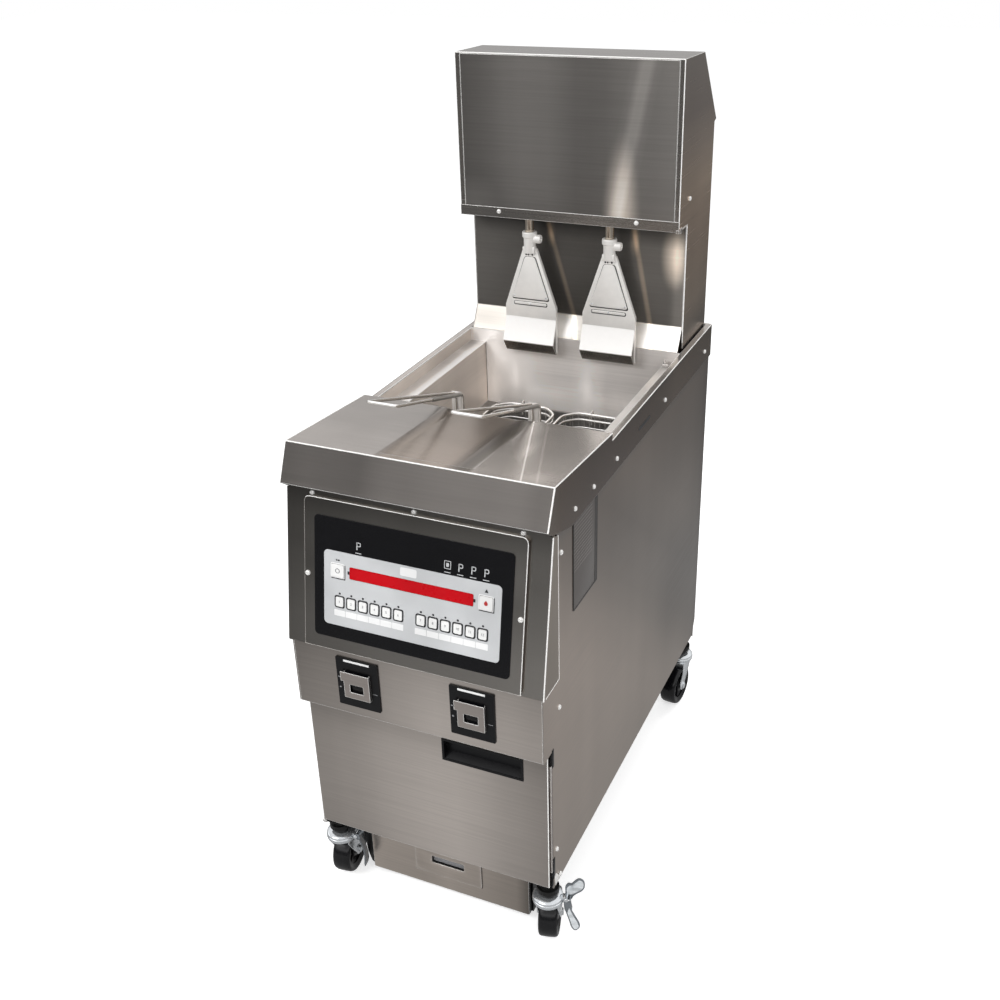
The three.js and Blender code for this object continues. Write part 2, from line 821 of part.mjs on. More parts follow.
function filterPump() {
  const half = pumpBaseWidth / 2;
  const z0 = frameTopZ + gap;
  const z1 = z0 + panRailThickness;
  const axisZ = z1 + pumpMotorRadius;
  const halfLength = pumpMotorLength / 2;
  const rearY = panelRearY - sheet - 2 * gap;
  const headLeft = -halfLength - pumpHeadWidth;
  return join(
    block(-half, half, frameMidCrossY, rearY, z0, z1),
    block(-half, half, pumpY - half / 2, pumpY + half / 2, z0, axisZ),
    barX(pumpY, axisZ, pumpMotorRadius, -halfLength, halfLength),
    block(headLeft, -halfLength + gap, pumpY - half / 2, pumpY + half / 2, z1, axisZ + half / 2),
  );
}
piece("filter_pump", filterPump(), darkSteel);

// Filter pan: an open tray on the frame's rails, with a raised middle and a slot to pull it by

function filterPan() {
  const z1 = panBottomZ + panHeight;
  const tray = block(-panHalfWidth, panHalfWidth, panFrontY, panRearY, panBottomZ, z1);
  const hollow = block(
    -panHalfWidth + panSheet, panHalfWidth - panSheet,
    panFrontY + panSheet, panRearY - panSheet,
    panBottomZ + panSheet, z1 + cutOver,
  );
  const boss = block(
    -panBossWidth / 2, panBossWidth / 2,
    panFrontY - panBossRise, panFrontY + panSheet,
    panBossBottom, z1,
  );
  const slot = block(
    -panSlotWidth / 2, panSlotWidth / 2,
    panFrontY - panBossRise - cutOver, panFrontY + panSheet + cutOver,
    panSlotTop - panSlotHeight, panSlotTop,
  );
  return cut(join(cut(tray, hollow), boss), slot);
}
piece("filter_pan", filterPan(), steel);

// Tower: a shell closed at the front by a cover and below by a plate with two rod holes

function towerShell() {
  const frontY = towerFrontY;
  const footZ = railTopZ + gap;
  const behind = backsplashY + sheet + gap;
  const topRearZ = towerTopZ - towerTopFall;
  const outer = outline([
    [behind, footZ],
    [behind, towerBottomZ + sheet + gap],
    [frontY, towerBottomZ + sheet + gap],
    [frontY, towerTopZ],
    [towerTopRearY, topRearZ],
    [towerLipY, towerLipZ],
    [towerRearY, towerLipZ - sheet - sheet],
    [towerRearY, footZ],
  ]);
  const slope = Math.atan2(topRearZ - towerLipZ, towerLipY - towerTopRearY);
  const shiftZ = sheet / Math.cos(slope);
  const innerLipY = towerRearY - sheet;
  const innerLipZ = towerLipZ - shiftZ + (towerLipY - innerLipY) * Math.tan(slope);
  const inner = outline([
    [behind - cutOver, footZ - cutOver],
    [behind - cutOver, towerBottomZ - cutOver],
    [frontY + sheet, towerBottomZ - cutOver],
    [frontY + sheet, towerTopZ - sheet],
    [towerTopRearY, topRearZ - shiftZ],
    [innerLipY, innerLipZ],
    [innerLipY, footZ - cutOver],
  ]);
  const windowX = halfTower - towerReturn;
  const shell = cut(
    alongX(outer, -halfTower, halfTower),
    alongX(inner, -halfTower + sheet, halfTower - sheet),
    block(
      -windowX, windowX,
      frontY - cutOver, frontY + sheet + cutOver,
      towerBottomZ, towerTopZ - sheet - gap,
    ),
  );
  return shell;
}
piece("tower_shell", towerShell(), darkSteel);

function towerCover() {
  const x1 = halfTower - towerReturn - gap;
  const z0 = towerBottomZ + sheet + gap;
  const z1 = towerTopZ - sheet - 2 * gap;
  return block(-x1, x1, towerFrontY, towerFrontY + sheet, z0, z1);
}
piece("tower_cover", towerCover(), darkSteel);

function towerBottomPlate() {
  const rearY = backsplashY - gap;
  const stripY = towerFrontY - sheet - gap;
  const plate = block(-halfTower, halfTower, stripY, rearY, towerBottomZ, towerBottomZ + sheet);
  const strip = block(
    -halfTower, halfTower,
    stripY, stripY + sheet,
    towerBottomZ, towerBottomZ + coverStripHeight,
  );
  const holes = [-liftX, liftX].map((x) => barZ(
    x, liftY, rodRadius + gap,
    towerBottomZ - cutOver, towerBottomZ + sheet + cutOver,
  ));
  return cut(join(plate, strip), ...holes);
}
piece("tower_bottom_plate", towerBottomPlate(), darkSteel);

function backsplash() {
  const [y0, y1] = [backsplashY, backsplashY + sheet];
  const footY = potRearY;
  const footZ = potRearTopZ + gap;
  const shape = outline([
    [y0, towerBottomZ + coverStripHeight],
    [y0, backsplashBendZ],
    [footY, footZ],
    [footY + sheet, footZ],
    [y1, backsplashBendZ],
    [y1, towerBottomZ + coverStripHeight],
  ]);
  return alongX(shape, -halfTower + sheet + gap, halfTower - sheet - gap);
}
piece("backsplash", backsplash(), darkSteel);

// Lift drive in the tower: a motor and a bridge that guides both rods

function liftDrive() {
  const half = driveWidth / 2;
  const y0 = liftY - rodRadius - gap - driveWall;
  const y1 = y0 + driveDepth;
  const z1 = driveBottomZ + driveHeight;
  const pedestalX = drivePedestalWidth / 2;
  const plateTop = towerBottomZ + sheet + gap;
  const motorY = y0 + driveMotorRadius;
  const bridge = join(
    block(-half, half, y0, y1, driveBottomZ, z1),
    block(-pedestalX, pedestalX, y0, y1, plateTop, driveBottomZ + gap),
    barZ(0, motorY, driveMotorRadius, z1 - gap, z1 + driveMotorHeight),
  );
  const bores = [-liftX, liftX].map((x) => barZ(
    x, liftY, rodRadius + gap,
    driveBottomZ - cutOver, z1 + cutOver,
  ));
  return cut(bridge, ...bores);
}
piece("lift_drive", liftDrive(), darkSteel);

// Lift arms: a chromed rod clamped in a flared hanger with a nose that takes a basket's hook

function liftRod() {
  return barZ(0, 0, rodRadius, rodBottomZ, rodBottomZ + rodLength);
}

function hangerOutline(inset) {
  const neck = hangerNeckWidth / 2 - inset;
  const wide = hangerWidth / 2 - inset;
  return outline([
    [-neck, collarBottomZ + gap],
    [-wide, hangerShoulderZ],
    [-wide, hangerBottomZ],
    [wide, hangerBottomZ],
    [wide, hangerShoulderZ],
    [neck, collarBottomZ + gap],
  ]);
}

function embossOutline() {
  const top = hangerShoulderZ + (collarBottomZ - hangerShoulderZ) * embossTopShare;
  const bottom = hangerShoulderZ + hangerSheet;
  return outline([
    [-hangerNeckWidth / 4, top],
    [-hangerWidth * embossHalfShare, bottom],
    [hangerWidth * embossHalfShare, bottom],
    [hangerNeckWidth / 4, top],
  ]);
}

function liftHanger() {
  const [y0, y1] = [hangerFrontY, hangerFrontY + hangerSheet];
  const backY = y0 + hangerFlange;
  const half = hangerWidth / 2;
  const pan = cut(
    alongY(hangerOutline(0), y0, backY),
    alongY(hangerOutline(hangerSheet), y1, backY + cutOver),
    block(-half - cutOver, half + cutOver, y1, backY + cutOver, hangerBottomZ - cutOver, hangerBottomZ),
    block(
      -half + hangerSheet, half - hangerSheet,
      y0 - cutOver, y1 + cutOver,
      hangerBottomZ - cutOver, hangerBendZ,
    ),
  );
  const noseY = y0 - hangerNoseReach;
  const nose = outline([
    [y1, hangerBendZ + hangerSheet],
    [y0, hangerBendZ + hangerSheet],
    [noseY, hangerNoseZ],
    [y0, hangerBottomZ],
    [y1 + hangerSheet, hangerBottomZ],
    [noseY + hangerNoseLap, hangerNoseZ],
    [y1, hangerBendZ],
  ]);
  const emboss = alongY(embossOutline(), y0 - hangerEmbossRise, y0 + gap);
  const barHalf = hangerWidth * hangerBarShare;
  const barTop = hangerShoulderZ - hangerSheet;
  const bar = block(
    -barHalf, barHalf,
    y0 - hangerEmbossRise, y0 + gap,
    barTop - hangerBarHeight, barTop,
  );
  const flangeZ = collarTopZ - collarFlangeHeight;
  const collar = turnedZ([
    [0, collarBottomZ],
    [collarRadius, collarBottomZ],
    [collarRadius, flangeZ - collarFlangeHeight],
    [collarFlangeRadius, flangeZ],
    [collarFlangeRadius, collarTopZ],
    [0, collarTopZ],
  ], 0, 0);
  const socket = barZ(0, 0, rodRadius + gap, rodBottomZ - gap, collarTopZ + cutOver);
  const screwZ = flangeZ - clampScrewRadius;
  const screw = barX(0, screwZ, clampScrewRadius, collarRadius - gap, clampScrewReach, smallSides);
  const neck = block(
    -hangerNeckWidth / 2 + gap, hangerNeckWidth / 2 - gap,
    y0, collarRadius / 2,
    collarBottomZ - hangerSheet, collarBottomZ + 2 * hangerSheet,
  );
  return cut(join(pan, alongX(nose, -half, half), emboss, bar, collar, screw, neck), socket);
}

[["left", -liftX], ["right", liftX]].forEach(([side, x]) => {
  const arm = new THREE.Group();
  arm.position.set(x, liftY, 0);
  fryer.add(arm);
  piece(`lift_rod_${side}`, liftRod(), copperRod, arm);
  piece(`lift_hanger_${side}`, liftHanger(), paleSteel, arm);
});

// Baskets: an open-topped box with a rim, and a wire handle that rises over the deck

function basketHandlePath() {
  const wireY = basketFrontY - handleWire;
  const footZ = basketRimZ - hookPlateHeight;
  const bendZ = basketRimZ + handleTopRise;
  const slope = handleClimb / handleRun;
  const tipY = wireY - handleRun;
  const tipZ = bendZ + handleClimb;
  const loop = handleFrontSpread * handleLoopShare;
  const path = new THREE.CurvePath();
  const side = (s) => ({
    foot: new THREE.Vector3(s * handleRearSpread, wireY, footZ),
    riser: new THREE.Vector3(s * handleRearSpread, wireY, bendZ - handleBend),
    corner: new THREE.Vector3(s * handleRearSpread, wireY, bendZ),
    bent: new THREE.Vector3(s * handleRearSpread, wireY - handleBend, bendZ + handleBend * slope),
    front: new THREE.Vector3(s * handleFrontSpread, tipY + loop, tipZ - loop * slope),
    shoulder: new THREE.Vector3(s * handleFrontSpread, tipY, tipZ),
  });
  const [a, b] = [side(-1), side(1)];
  const tip = new THREE.Vector3(0, tipY, tipZ);
  path.add(new THREE.LineCurve3(a.foot, a.riser));
  path.add(new THREE.QuadraticBezierCurve3(a.riser, a.corner, a.bent));
  path.add(new THREE.LineCurve3(a.bent, a.front));
  path.add(new THREE.QuadraticBezierCurve3(a.front, a.shoulder, tip));
  path.add(new THREE.QuadraticBezierCurve3(tip, b.shoulder, b.front));
  path.add(new THREE.LineCurve3(b.front, b.bent));
  path.add(new THREE.QuadraticBezierCurve3(b.bent, b.corner, b.riser));
  path.add(new THREE.LineCurve3(b.riser, b.foot));
  return path;
}

function basket() {
  const half = basketWidth / 2;
  const outer = alongZ(
    roundedOutline(-half, half, basketFrontY, basketRearY, basketRadius),
    basketBottomZ, basketRimZ,
  );
  const inner = alongZ(
    roundedOutline(
      -half + basketWall, half - basketWall,
      basketFrontY + basketWall, basketRearY - basketWall,
      basketRadius - basketWall,
    ),
    basketBottomZ + basketWall, basketRimZ + cutOver,
  );
  const tubeSet = new THREE.Matrix4().makeTranslation(handleOffset, 0, 0);
  const section = new THREE.Shape();
  section.absarc(0, 0, handleWire, 0, 2 * Math.PI, false);
  const wire = new THREE.ExtrudeGeometry(section, {
    steps: handleSteps,
    curveSegments: wireSegments,
    extrudePath: basketHandlePath(),
  });
  const plateHalf = hookPlateWidth / 2;
  const plateZ = basketRimZ + handleTopRise - handleBend;
  const plate = block(
    handleOffset - plateHalf, handleOffset + plateHalf,
    basketFrontY - handleWire - hookPlateThickness / 2, basketFrontY - handleWire / 2,
    plateZ - hookPlateHeight, plateZ,
  );
  const saddle = block(
    handleOffset - plateHalf, handleOffset + plateHalf,
    basketFrontY - handleWire, basketFrontY + basketWall,
    basketRimZ - hookPlateHeight / 2, basketRimZ - basketRim,
  );
  return join(cut(outer, inner), solidOf(wire.applyMatrix4(tubeSet)), plate, saddle);
}

[["left", basketLeftX], ["right", basketRightX]].forEach(([side, x]) => {
  const mesh = piece(`basket_${side}`, basket(), brightSteel);
  mesh.position.set(x, 0, 0);
});

// Control housing: a slanted face under the deck's apron, open at the back

function controlHousing() {
  const half = housingWidth / 2;
  const topZ = faceTopZ + housingTongueHeight;
  const topY = faceTopY + housingTongueHeight * Math.tan(faceTilt);
  const floorZ = switchPanelTopZ + gap;
  const outer = outline([
    [topY, topZ],
    [faceBottomY, faceBottomZ],
    [faceBottomY + sheet, floorZ],
    [housingRearY, floorZ],
    [housingRearY, faceTopZ - housingTopFall],
    [topY + sheet, faceTopZ - sheet],
    [topY + sheet, topZ],
  ]);
  const inner = outline([
    [topY + sheet, topZ + cutOver],
    [topY + sheet, topZ],
    [faceBottomY + 2 * sheet, faceBottomZ + sheet],
    [housingRearY + cutOver, faceBottomZ + sheet],
    [housingRearY + cutOver, topZ + cutOver],
  ]);
  const corner = (x0, x1) => block(
    x0, x1,
    faceTopY - cutOver, housingRearY + cutOver,
    faceTopZ, topZ + cutOver,
  );
  const tongueX = half - housingTongueInset;
  return cut(
    alongX(outer, -half, half),
    alongX(inner, -half + sheet, half - sheet),
    corner(-half - cutOver, -tongueX),
    corner(tongueX, half + cutOver),
  );
}
piece("control_housing", controlHousing(), steel);

// Everything on the slanted face: its own frame has its top edge at z = 0, and -Y faces out

const face = new THREE.Group();
face.position.set(0, faceTopY, faceTopZ);
face.rotation.x = -faceTilt;
fryer.add(face);

const keyPlaces = [];
for (const bank of [-1, 1]) {
  for (let i = 0; i < keyCountPerBank; i += 1) {
    const x = bank * bankCentre + (i - (keyCountPerBank - 1) / 2) * keyPitch;
    keyPlaces.push({ x, z: -keyDown, width: keyWidth, height: keyHeight });
  }
}
const powerPlaces = [-1, 1].map((side) => ({
  x: side * powerKeyX,
  z: -powerKeyDown,
  width: powerKeySize,
  height: powerKeySize,
}));

function keyHole(place, y0, y1) {
  const halfW = place.width / 2 + gap;
  const halfH = place.height / 2 + gap;
  return block(place.x - halfW, place.x + halfW, y0, y1, place.z - halfH, place.z + halfH);
}

function bezel() {
  const half = bezelWidth / 2;
  const shape = roundedOutline(-half, half, -bezelBottom, -bezelTop, bezelRadius);
  const hollow = roundedOutline(
    -half + sheet, half - sheet,
    -bezelBottom + sheet, -bezelTop - sheet,
    bezelRadius - sheet,
  );
  const holes = [...keyPlaces, ...powerPlaces].map((place) => keyHole(
    place, -bezelRise - cutOver, 0,
  ));
  return cut(
    alongY(shape, -bezelRise, -gap),
    alongY(hollow, -bezelRise + sheet, cutOver),
    ...holes,
  );
}
piece("control_bezel", bezel(), steel, face);

function overlay() {
  const half = overlayWidth / 2;
  const shape = roundedOutline(-half, half, -overlayBottom, -overlayTop, overlayRadius);
  const holes = [...keyPlaces, ...powerPlaces].map((place) => keyHole(
    place, -overlayFace - cutOver, 0,
  ));
  const halfDisplay = displayWidth / 2 + gap;
  const window = block(
    -halfDisplay, halfDisplay,
    -overlayFace - cutOver, 0,
    -displayBottom - gap, -displayTop + gap,
  );
  return cut(alongY(shape, -overlayFace, -bezelRise - gap), window, ...holes);
}
piece("keypad_overlay", overlay(), blackPlastic, face);

const displayShape = roundedOutline(
  -displayWidth / 2, displayWidth / 2,
  -displayBottom, -displayTop,
  keyRadius,
);
const displayBackY = -bezelRise - gap;
piece(
  "display_window",
  alongY(displayShape, displayBackY - displayThickness, displayBackY),
  redGlass, face,
);

function keyCap(place) {
  const halfW = place.width / 2;
  const halfH = place.height / 2;
  const shape = roundedOutline(-halfW, halfW, -halfH, halfH, keyRadius);
  return alongY(shape, -keyProud, keyDepth);
}

keyPlaces.forEach((place, i) => {
  const number = String(i + 1).padStart(2, "0");
  const mesh = piece(`product_key_${number}`, keyCap(place), whiteKey, face);
  mesh.position.set(place.x, -overlayFace, place.z);
});
["left", "right"].forEach((side, i) => {
  const mesh = piece(`power_key_${side}`, keyCap(powerPlaces[i]), whiteKey, face);
  mesh.position.set(powerPlaces[i].x, -overlayFace, powerPlaces[i].z);
});

// Switch panel with two rocker switches, each behind a steel guard

function switchPanel() {
  const x1 = sideInnerX - gap;
  const [y0, z0, z1] = [switchPanelFrontY, switchPanelBottomZ, switchPanelTopZ - gap];
  const outer = block(-x1, x1, y0, y0 + switchPanelDepth, z0, z1);
  const hollow = block(
    -x1 + sheet, x1 - sheet,
    y0 + sheet, y0 + switchPanelDepth + cutOver,
    z0 + sheet, z1 - sheet,
  );
  const holes = [-switchPlateX, switchPlateX].map((x) => rockerHole(x, y0 - cutOver, y0 + sheet + cutOver));
  const pin = barZ(pinX, pinY, hingePinRadius, doorTopZ - hingePinLength, z0 + gap, smallSides);
  return join(cut(outer, hollow, ...holes), pin);
}

function rockerHole(x, y0, y1) {
  const halfW = rockerWidth / 2 + gap;
  const halfH = rockerHeight / 2 + 2 * gap;
  return block(x - halfW, x + halfW, y0, y1, rockerZ - halfH, rockerZ + halfH);
}
piece("switch_panel", switchPanel(), steel);

function switchPlate(x) {
  const half = switchPlateWidth / 2;
  const y1 = switchPanelFrontY - gap;
  const y0 = y1 - switchPlateThickness;
  const z0 = switchPlateTopZ - switchPlateHeight;
  const shape = roundedOutline(x - half, x + half, z0, switchPlateTopZ, sheet);
  return cut(alongY(shape, y0, y1), rockerHole(x, y0 - cutOver, y1 + cutOver));
}

function switchGuard(x) {
  const half = guardWidth / 2;
  const plateY = switchPanelFrontY - gap - switchPlateThickness - gap;
  const y0 = plateY - guardStand;
  const z0 = guardTopZ - guardHeight;
  const faceShape = outline([
    [x - half, z0],
    [x + half, z0],
    [x + half, guardTopZ],
    [x - half - guardTabWidth, guardTopZ],
    [x - half - guardTabWidth, guardTopZ - guardTabHeight],
    [x - half, guardTopZ - guardTabHeight],
  ]);
  const front = alongY(faceShape, y0, y0 + guardSheet);
  const leftFoot = block(x - half, x - half + guardSheet, y0, plateY, z0, guardTopZ);
  const rightFoot = block(x + half - guardSheet, x + half, y0, plateY, z0, guardTopZ);
  const topZ = guardTopZ - guardHoleDown;
  const hole = block(
    x - guardHoleWidth / 2, x + guardHoleWidth / 2,
    y0 - cutOver, y0 + guardSheet + gap,
    topZ - guardHoleHeight, topZ,
  );
  return cut(join(front, leftFoot, rightFoot), hole);
}

function rocker() {
  const half = rockerWidth / 2;
  const halfH = rockerHeight / 2;
  const plateFace = switchPlateThickness + gap;
  const shape = outline([
    [-plateFace - rockerProud, 0],
    [-plateFace - rockerProud * rockerCrownShare, -halfH],
    [rockerDepth - plateFace, -halfH * rockerTaperShare],
    [rockerDepth - plateFace, halfH * rockerTaperShare],
    [-plateFace - rockerProud * rockerCrownShare, halfH],
  ]);
  return alongX(shape, -half, half);
}

[["left", -switchPlateX], ["right", switchPlateX]].forEach(([side, x]) => {
  piece(`switch_plate_${side}`, switchPlate(x), blackPlastic);
  piece(`switch_guard_${side}`, switchGuard(x), steel);
  const mesh = piece(`rocker_${side}`, rocker(), blackPlastic);
  mesh.position.set(x, switchPanelFrontY, rockerZ);
  mesh.rotation.x = rockerTilt / 2;
});

// Door: a shallow pan on two pins at its left edge, with a black pull let into it

function door() {
  const [y0, y1] = [doorFrontY, doorFrontY + doorDepth];
  const pan = cut(
    block(doorLeftX, doorRightX, y0, y1, doorBottomZ, doorTopZ),
    block(
      doorLeftX + sheet, doorRightX - sheet,
      y0 + sheet, y1 + cutOver,
      doorBottomZ + sheet, doorTopZ - sheet,
    ),
    block(
      handleLeftX, handleLeftX + handleWidth,
      y0 - cutOver, y0 + sheet + cutOver,
      handleTopZ - handleHeight, handleTopZ,
    ),
    barZ(
      pinX, pinY, hingePinRadius + gap,
      doorBottomZ - cutOver, doorTopZ + cutOver, smallSides,
    ),
  );
  return pan;
}
piece("door", door(), steel);

function doorHandle() {
  const x0 = handleLeftX + gap;
  const x1 = handleLeftX + handleWidth - gap;
  const z1 = handleTopZ - gap;
  const z0 = handleTopZ - handleHeight + gap;
  const lipBackY = doorFrontY - gap;
  const backY = doorFrontY + handleDepth;
  const cup = block(x0, x1, lipBackY, backY, z0, z1);
  const lip = block(
    x0 - handleLip, x1 + handleLip,
    lipBackY - handleLipThickness, lipBackY,
    z0 - handleLip, z1 + handleLip,
  );
  const hollowShape = outline([
    [lipBackY - cutOver, z0 + handleWall],
    [doorFrontY, z0 + handleWall],
    [backY - handleWall, z0 + handleTaper],
    [backY - handleWall, z1 - handleWall],
    [lipBackY - cutOver, z1 - handleWall],
  ]);
  return cut(join(cup, lip), alongX(hollowShape, x0 + handleWall, x1 - handleWall));
}
piece("door_handle", doorHandle(), blackPlastic);

// Casters: each fork swivels under its post, carries a wheel, and at the front a brake lever

function casterFork(hasLever) {
  const inner = hubWidth / 2 + gap;
  const outer = inner + forkSheet;
  const crownZ = casterHeight - racewayHeight;
  const legFront = -forkLegWidth / 2;
  const legRear = forkLegWidth / 2 + forkLegTaper;
  const crownTopZ = crownZ + forkSheet;
  const raceway = turnedZ([
    [0, crownZ],
    [racewayRadius - forkSheet, crownZ],
    [racewayRadius, crownZ + forkSheet],
    [racewayRadius, casterHeight - 2 * forkSheet],
    [racewayRadius - forkSheet, casterHeight - forkSheet],
    [racewayRadius - 2 * forkSheet, casterHeight],
    [0, casterHeight],
  ], 0, 0);
  const crown = block(-outer, outer, legFront, legRear, crownZ, crownTopZ);
  const legShape = outline([
    [legFront, crownTopZ],
    [casterTrail - forkLegTaper, axleZ + forkLegTaper / 2],
    [casterTrail - forkLegTaper / 2, axleZ - forkLegTaper],
    [casterTrail + forkLegTaper / 2, axleZ - forkLegTaper],
    [casterTrail + forkLegTaper, axleZ + forkLegTaper / 2],
    [legRear, crownTopZ],
  ]);
  const parts = [
    raceway,
    crown,
    alongX(legShape, -outer, -inner),
    alongX(legShape, inner, outer),
    barX(casterTrail, axleZ, axleRadius, -outer - axleEnd, outer + axleEnd, smallSides),
  ];
  if (hasLever) {
    const pivotZ = casterHeight - leverPivotDrop;
    const lug = leverWidth / 2 - leverThickness - gap;
    const pin = leverWidth / 2 + leverThickness / 2;
    const lugX = racewayRadius - forkSheet;
    parts.push(block(lugX, leverPivotOut, -lug, lug, crownZ + forkSheet, pivotZ + leverThickness));
    parts.push(barY(leverPivotOut, pivotZ, axleRadius / 2, -pin, pin, smallSides));
  }
  return join(...parts);
}

function casterWheel() {
  const half = wheelWidth / 2;
  const hub = hubWidth / 2;
  const bore = axleRadius + gap;
  const profile = [
    [bore, -hub],
    [hubRadius, -hub],
    [hubRadius, -half + wheelDish],
    [wheelRadius - wheelWebInset, -half + wheelDish],
    [wheelRadius - wheelFlatInset, -half],
    [wheelRadius - wheelRim / 2, -half + wheelRim / 2],
    [wheelRadius, -half + treadInset],
    [wheelRadius, half - treadInset],
    [wheelRadius - wheelRim / 2, half - wheelRim / 2],
    [wheelRadius - wheelFlatInset, half],
    [wheelRadius - wheelWebInset, half - wheelDish],
    [hubRadius, half - wheelDish],
    [hubRadius, hub],
    [bore, hub],
    [bore, -hub],
  ].map(([r, x]) => new THREE.Vector2(r, x));
  const tyre = new THREE.LatheGeometry(profile, wheelSides);
  return solidOf(tyre.rotateZ(-Math.PI / 2).rotateX(Math.PI / wheelSides));
}

// The lever rocks on its pin: an upper and a lower paddle joined by two cheeks.
function brakeLever() {
  const half = leverWidth / 2;
  const t = leverThickness;
  const inner = leverHubRadius + 2 * gap;
  const kneeZ = -leverLowerDrop / 2;
  const paddle = outline([
    [inner, -leverHubRadius],
    [leverLowerReach - t, kneeZ],
    [leverLowerReach - t, -leverLowerDrop],
    [leverLowerReach, -leverLowerDrop],
    [leverLowerReach, kneeZ],
    [inner + t, 0],
    [leverUpperReach + t, leverUpperRise],
    [leverUpperReach, leverUpperRise],
    [inner, leverHubRadius],
  ]);
  const cheek = outline([
    [-leverHubRadius, -leverHubRadius],
    [inner + t, -leverCheekHeight / 2],
    [inner + t, leverCheekHeight / 2],
    [-leverHubRadius, leverHubRadius],
  ]);
  const bore = barY(0, 0, axleRadius / 2 + gap, -half - cutOver, half + cutOver, smallSides);
  return cut(join(
    alongY(paddle, -half, half),
    alongY(cheek, -half, -half + t),
    alongY(cheek, half - t, half),
  ), bore);
}

const casterPlaces = [
  { name: "front_left", x: -casterX, y: casterFrontY, yaw: frontLeftYaw, hasLever: true },
  { name: "front_right", x: casterX, y: casterFrontY, yaw: frontRightYaw, hasLever: true },
  { name: "rear_left", x: -casterX, y: casterRearY, yaw: rearLeftYaw, hasLever: false },
  { name: "rear_right", x: casterX, y: casterRearY, yaw: rearRightYaw, hasLever: false },
];
for (const { name, x, y, yaw, hasLever } of casterPlaces) {
  const caster = new THREE.Group();
  caster.position.set(x, y, 0);
  caster.rotation.z = THREE.MathUtils.degToRad(yaw);
  fryer.add(caster);
  piece(`caster_fork_${name}`, casterFork(hasLever), brightSteel, caster);
  const wheel = piece(`caster_wheel_${name}`, casterWheel(), blackRubber, caster);
  wheel.position.set(0, casterTrail, axleZ);
  if (hasLever) {
    const lever = piece(`brake_lever_${name}`, brakeLever(), brightSteel, caster);
    lever.position.set(leverPivotOut, 0, casterHeight - leverPivotDrop);
  }
}

// The origin is on the floor, below the middle of the whole fryer

fryer.updateMatrixWorld(true);
const bounds = new THREE.Box3().setFromObject(fryer);
const middle = bounds.getCenter(new THREE.Vector3());
fryer.position.set(-middle.x, -middle.y, -bounds.min.z);

export default fryer;
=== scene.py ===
import json
from math import atan2, cos, pi, radians, sin, tau

import bmesh
import bpy
from mathutils import Matrix, Vector
from mathutils.geometry import tessellate_polygon


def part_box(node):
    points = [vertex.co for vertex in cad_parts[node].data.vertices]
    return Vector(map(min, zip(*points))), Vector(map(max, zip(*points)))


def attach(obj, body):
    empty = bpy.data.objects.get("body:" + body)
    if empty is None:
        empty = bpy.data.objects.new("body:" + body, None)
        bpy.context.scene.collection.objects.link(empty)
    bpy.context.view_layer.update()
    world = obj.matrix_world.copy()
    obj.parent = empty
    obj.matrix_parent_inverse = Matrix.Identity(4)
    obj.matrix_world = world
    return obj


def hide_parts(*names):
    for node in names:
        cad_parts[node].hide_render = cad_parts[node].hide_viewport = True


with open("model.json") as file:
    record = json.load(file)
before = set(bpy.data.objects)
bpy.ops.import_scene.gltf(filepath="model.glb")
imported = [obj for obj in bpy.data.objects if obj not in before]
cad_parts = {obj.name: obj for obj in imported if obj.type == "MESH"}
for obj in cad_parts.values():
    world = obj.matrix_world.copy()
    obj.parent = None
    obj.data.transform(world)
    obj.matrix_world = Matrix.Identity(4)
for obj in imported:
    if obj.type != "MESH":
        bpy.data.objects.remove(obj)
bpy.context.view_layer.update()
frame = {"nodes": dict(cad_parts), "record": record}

# Plan lines of the frame: the deck's middle is x = 0 and its front corner is y = APRON_Y

MM = 0.001
APRON_Y = -491
deck_low, deck_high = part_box("deck")
ORIGIN = Vector(((deck_low.x + deck_high.x) / 2, deck_low.y - APRON_Y * MM, 0))
move = Matrix.Translation


def at(x, y, z):
    """A point given in millimetres from the deck's middle, in the row frame."""
    return ORIGIN + Vector((x, y, z)) * MM


def linked(name, data):
    """A new object in the scene."""
    thing = bpy.data.objects.new(name, data)
    bpy.context.scene.collection.objects.link(thing)
    return thing


# Camera at the photograph's viewpoint

CAMERA_PLACE = (902.2, -2051.8, 1886.4)
CAMERA_AZIMUTH = radians(25.122)
CAMERA_ELEVATION = radians(27.63)
CAMERA_ROLL = radians(-1.853)
CAMERA_LENS = 43.87


def place_camera(camera):
    a, e = CAMERA_AZIMUTH, CAMERA_ELEVATION
    right = Vector((cos(a), sin(a), 0))
    back = Vector((sin(a) * cos(e), -cos(a) * cos(e), sin(e)))
    up = back.cross(right)
    c, s = cos(CAMERA_ROLL), sin(CAMERA_ROLL)
    rotation = Matrix((right * c + up * s, up * c - right * s, back)).transposed()
    camera.matrix_world = move(at(*CAMERA_PLACE)) @ rotation.to_4x4()
    camera.data.lens = CAMERA_LENS
    camera.data.sensor_width = 36
    camera.data.clip_end = 50
    bpy.context.scene.camera = camera


place_camera(linked("camera", bpy.data.cameras.new("camera")))
bpy.context.scene.view_settings.view_transform = "Standard"
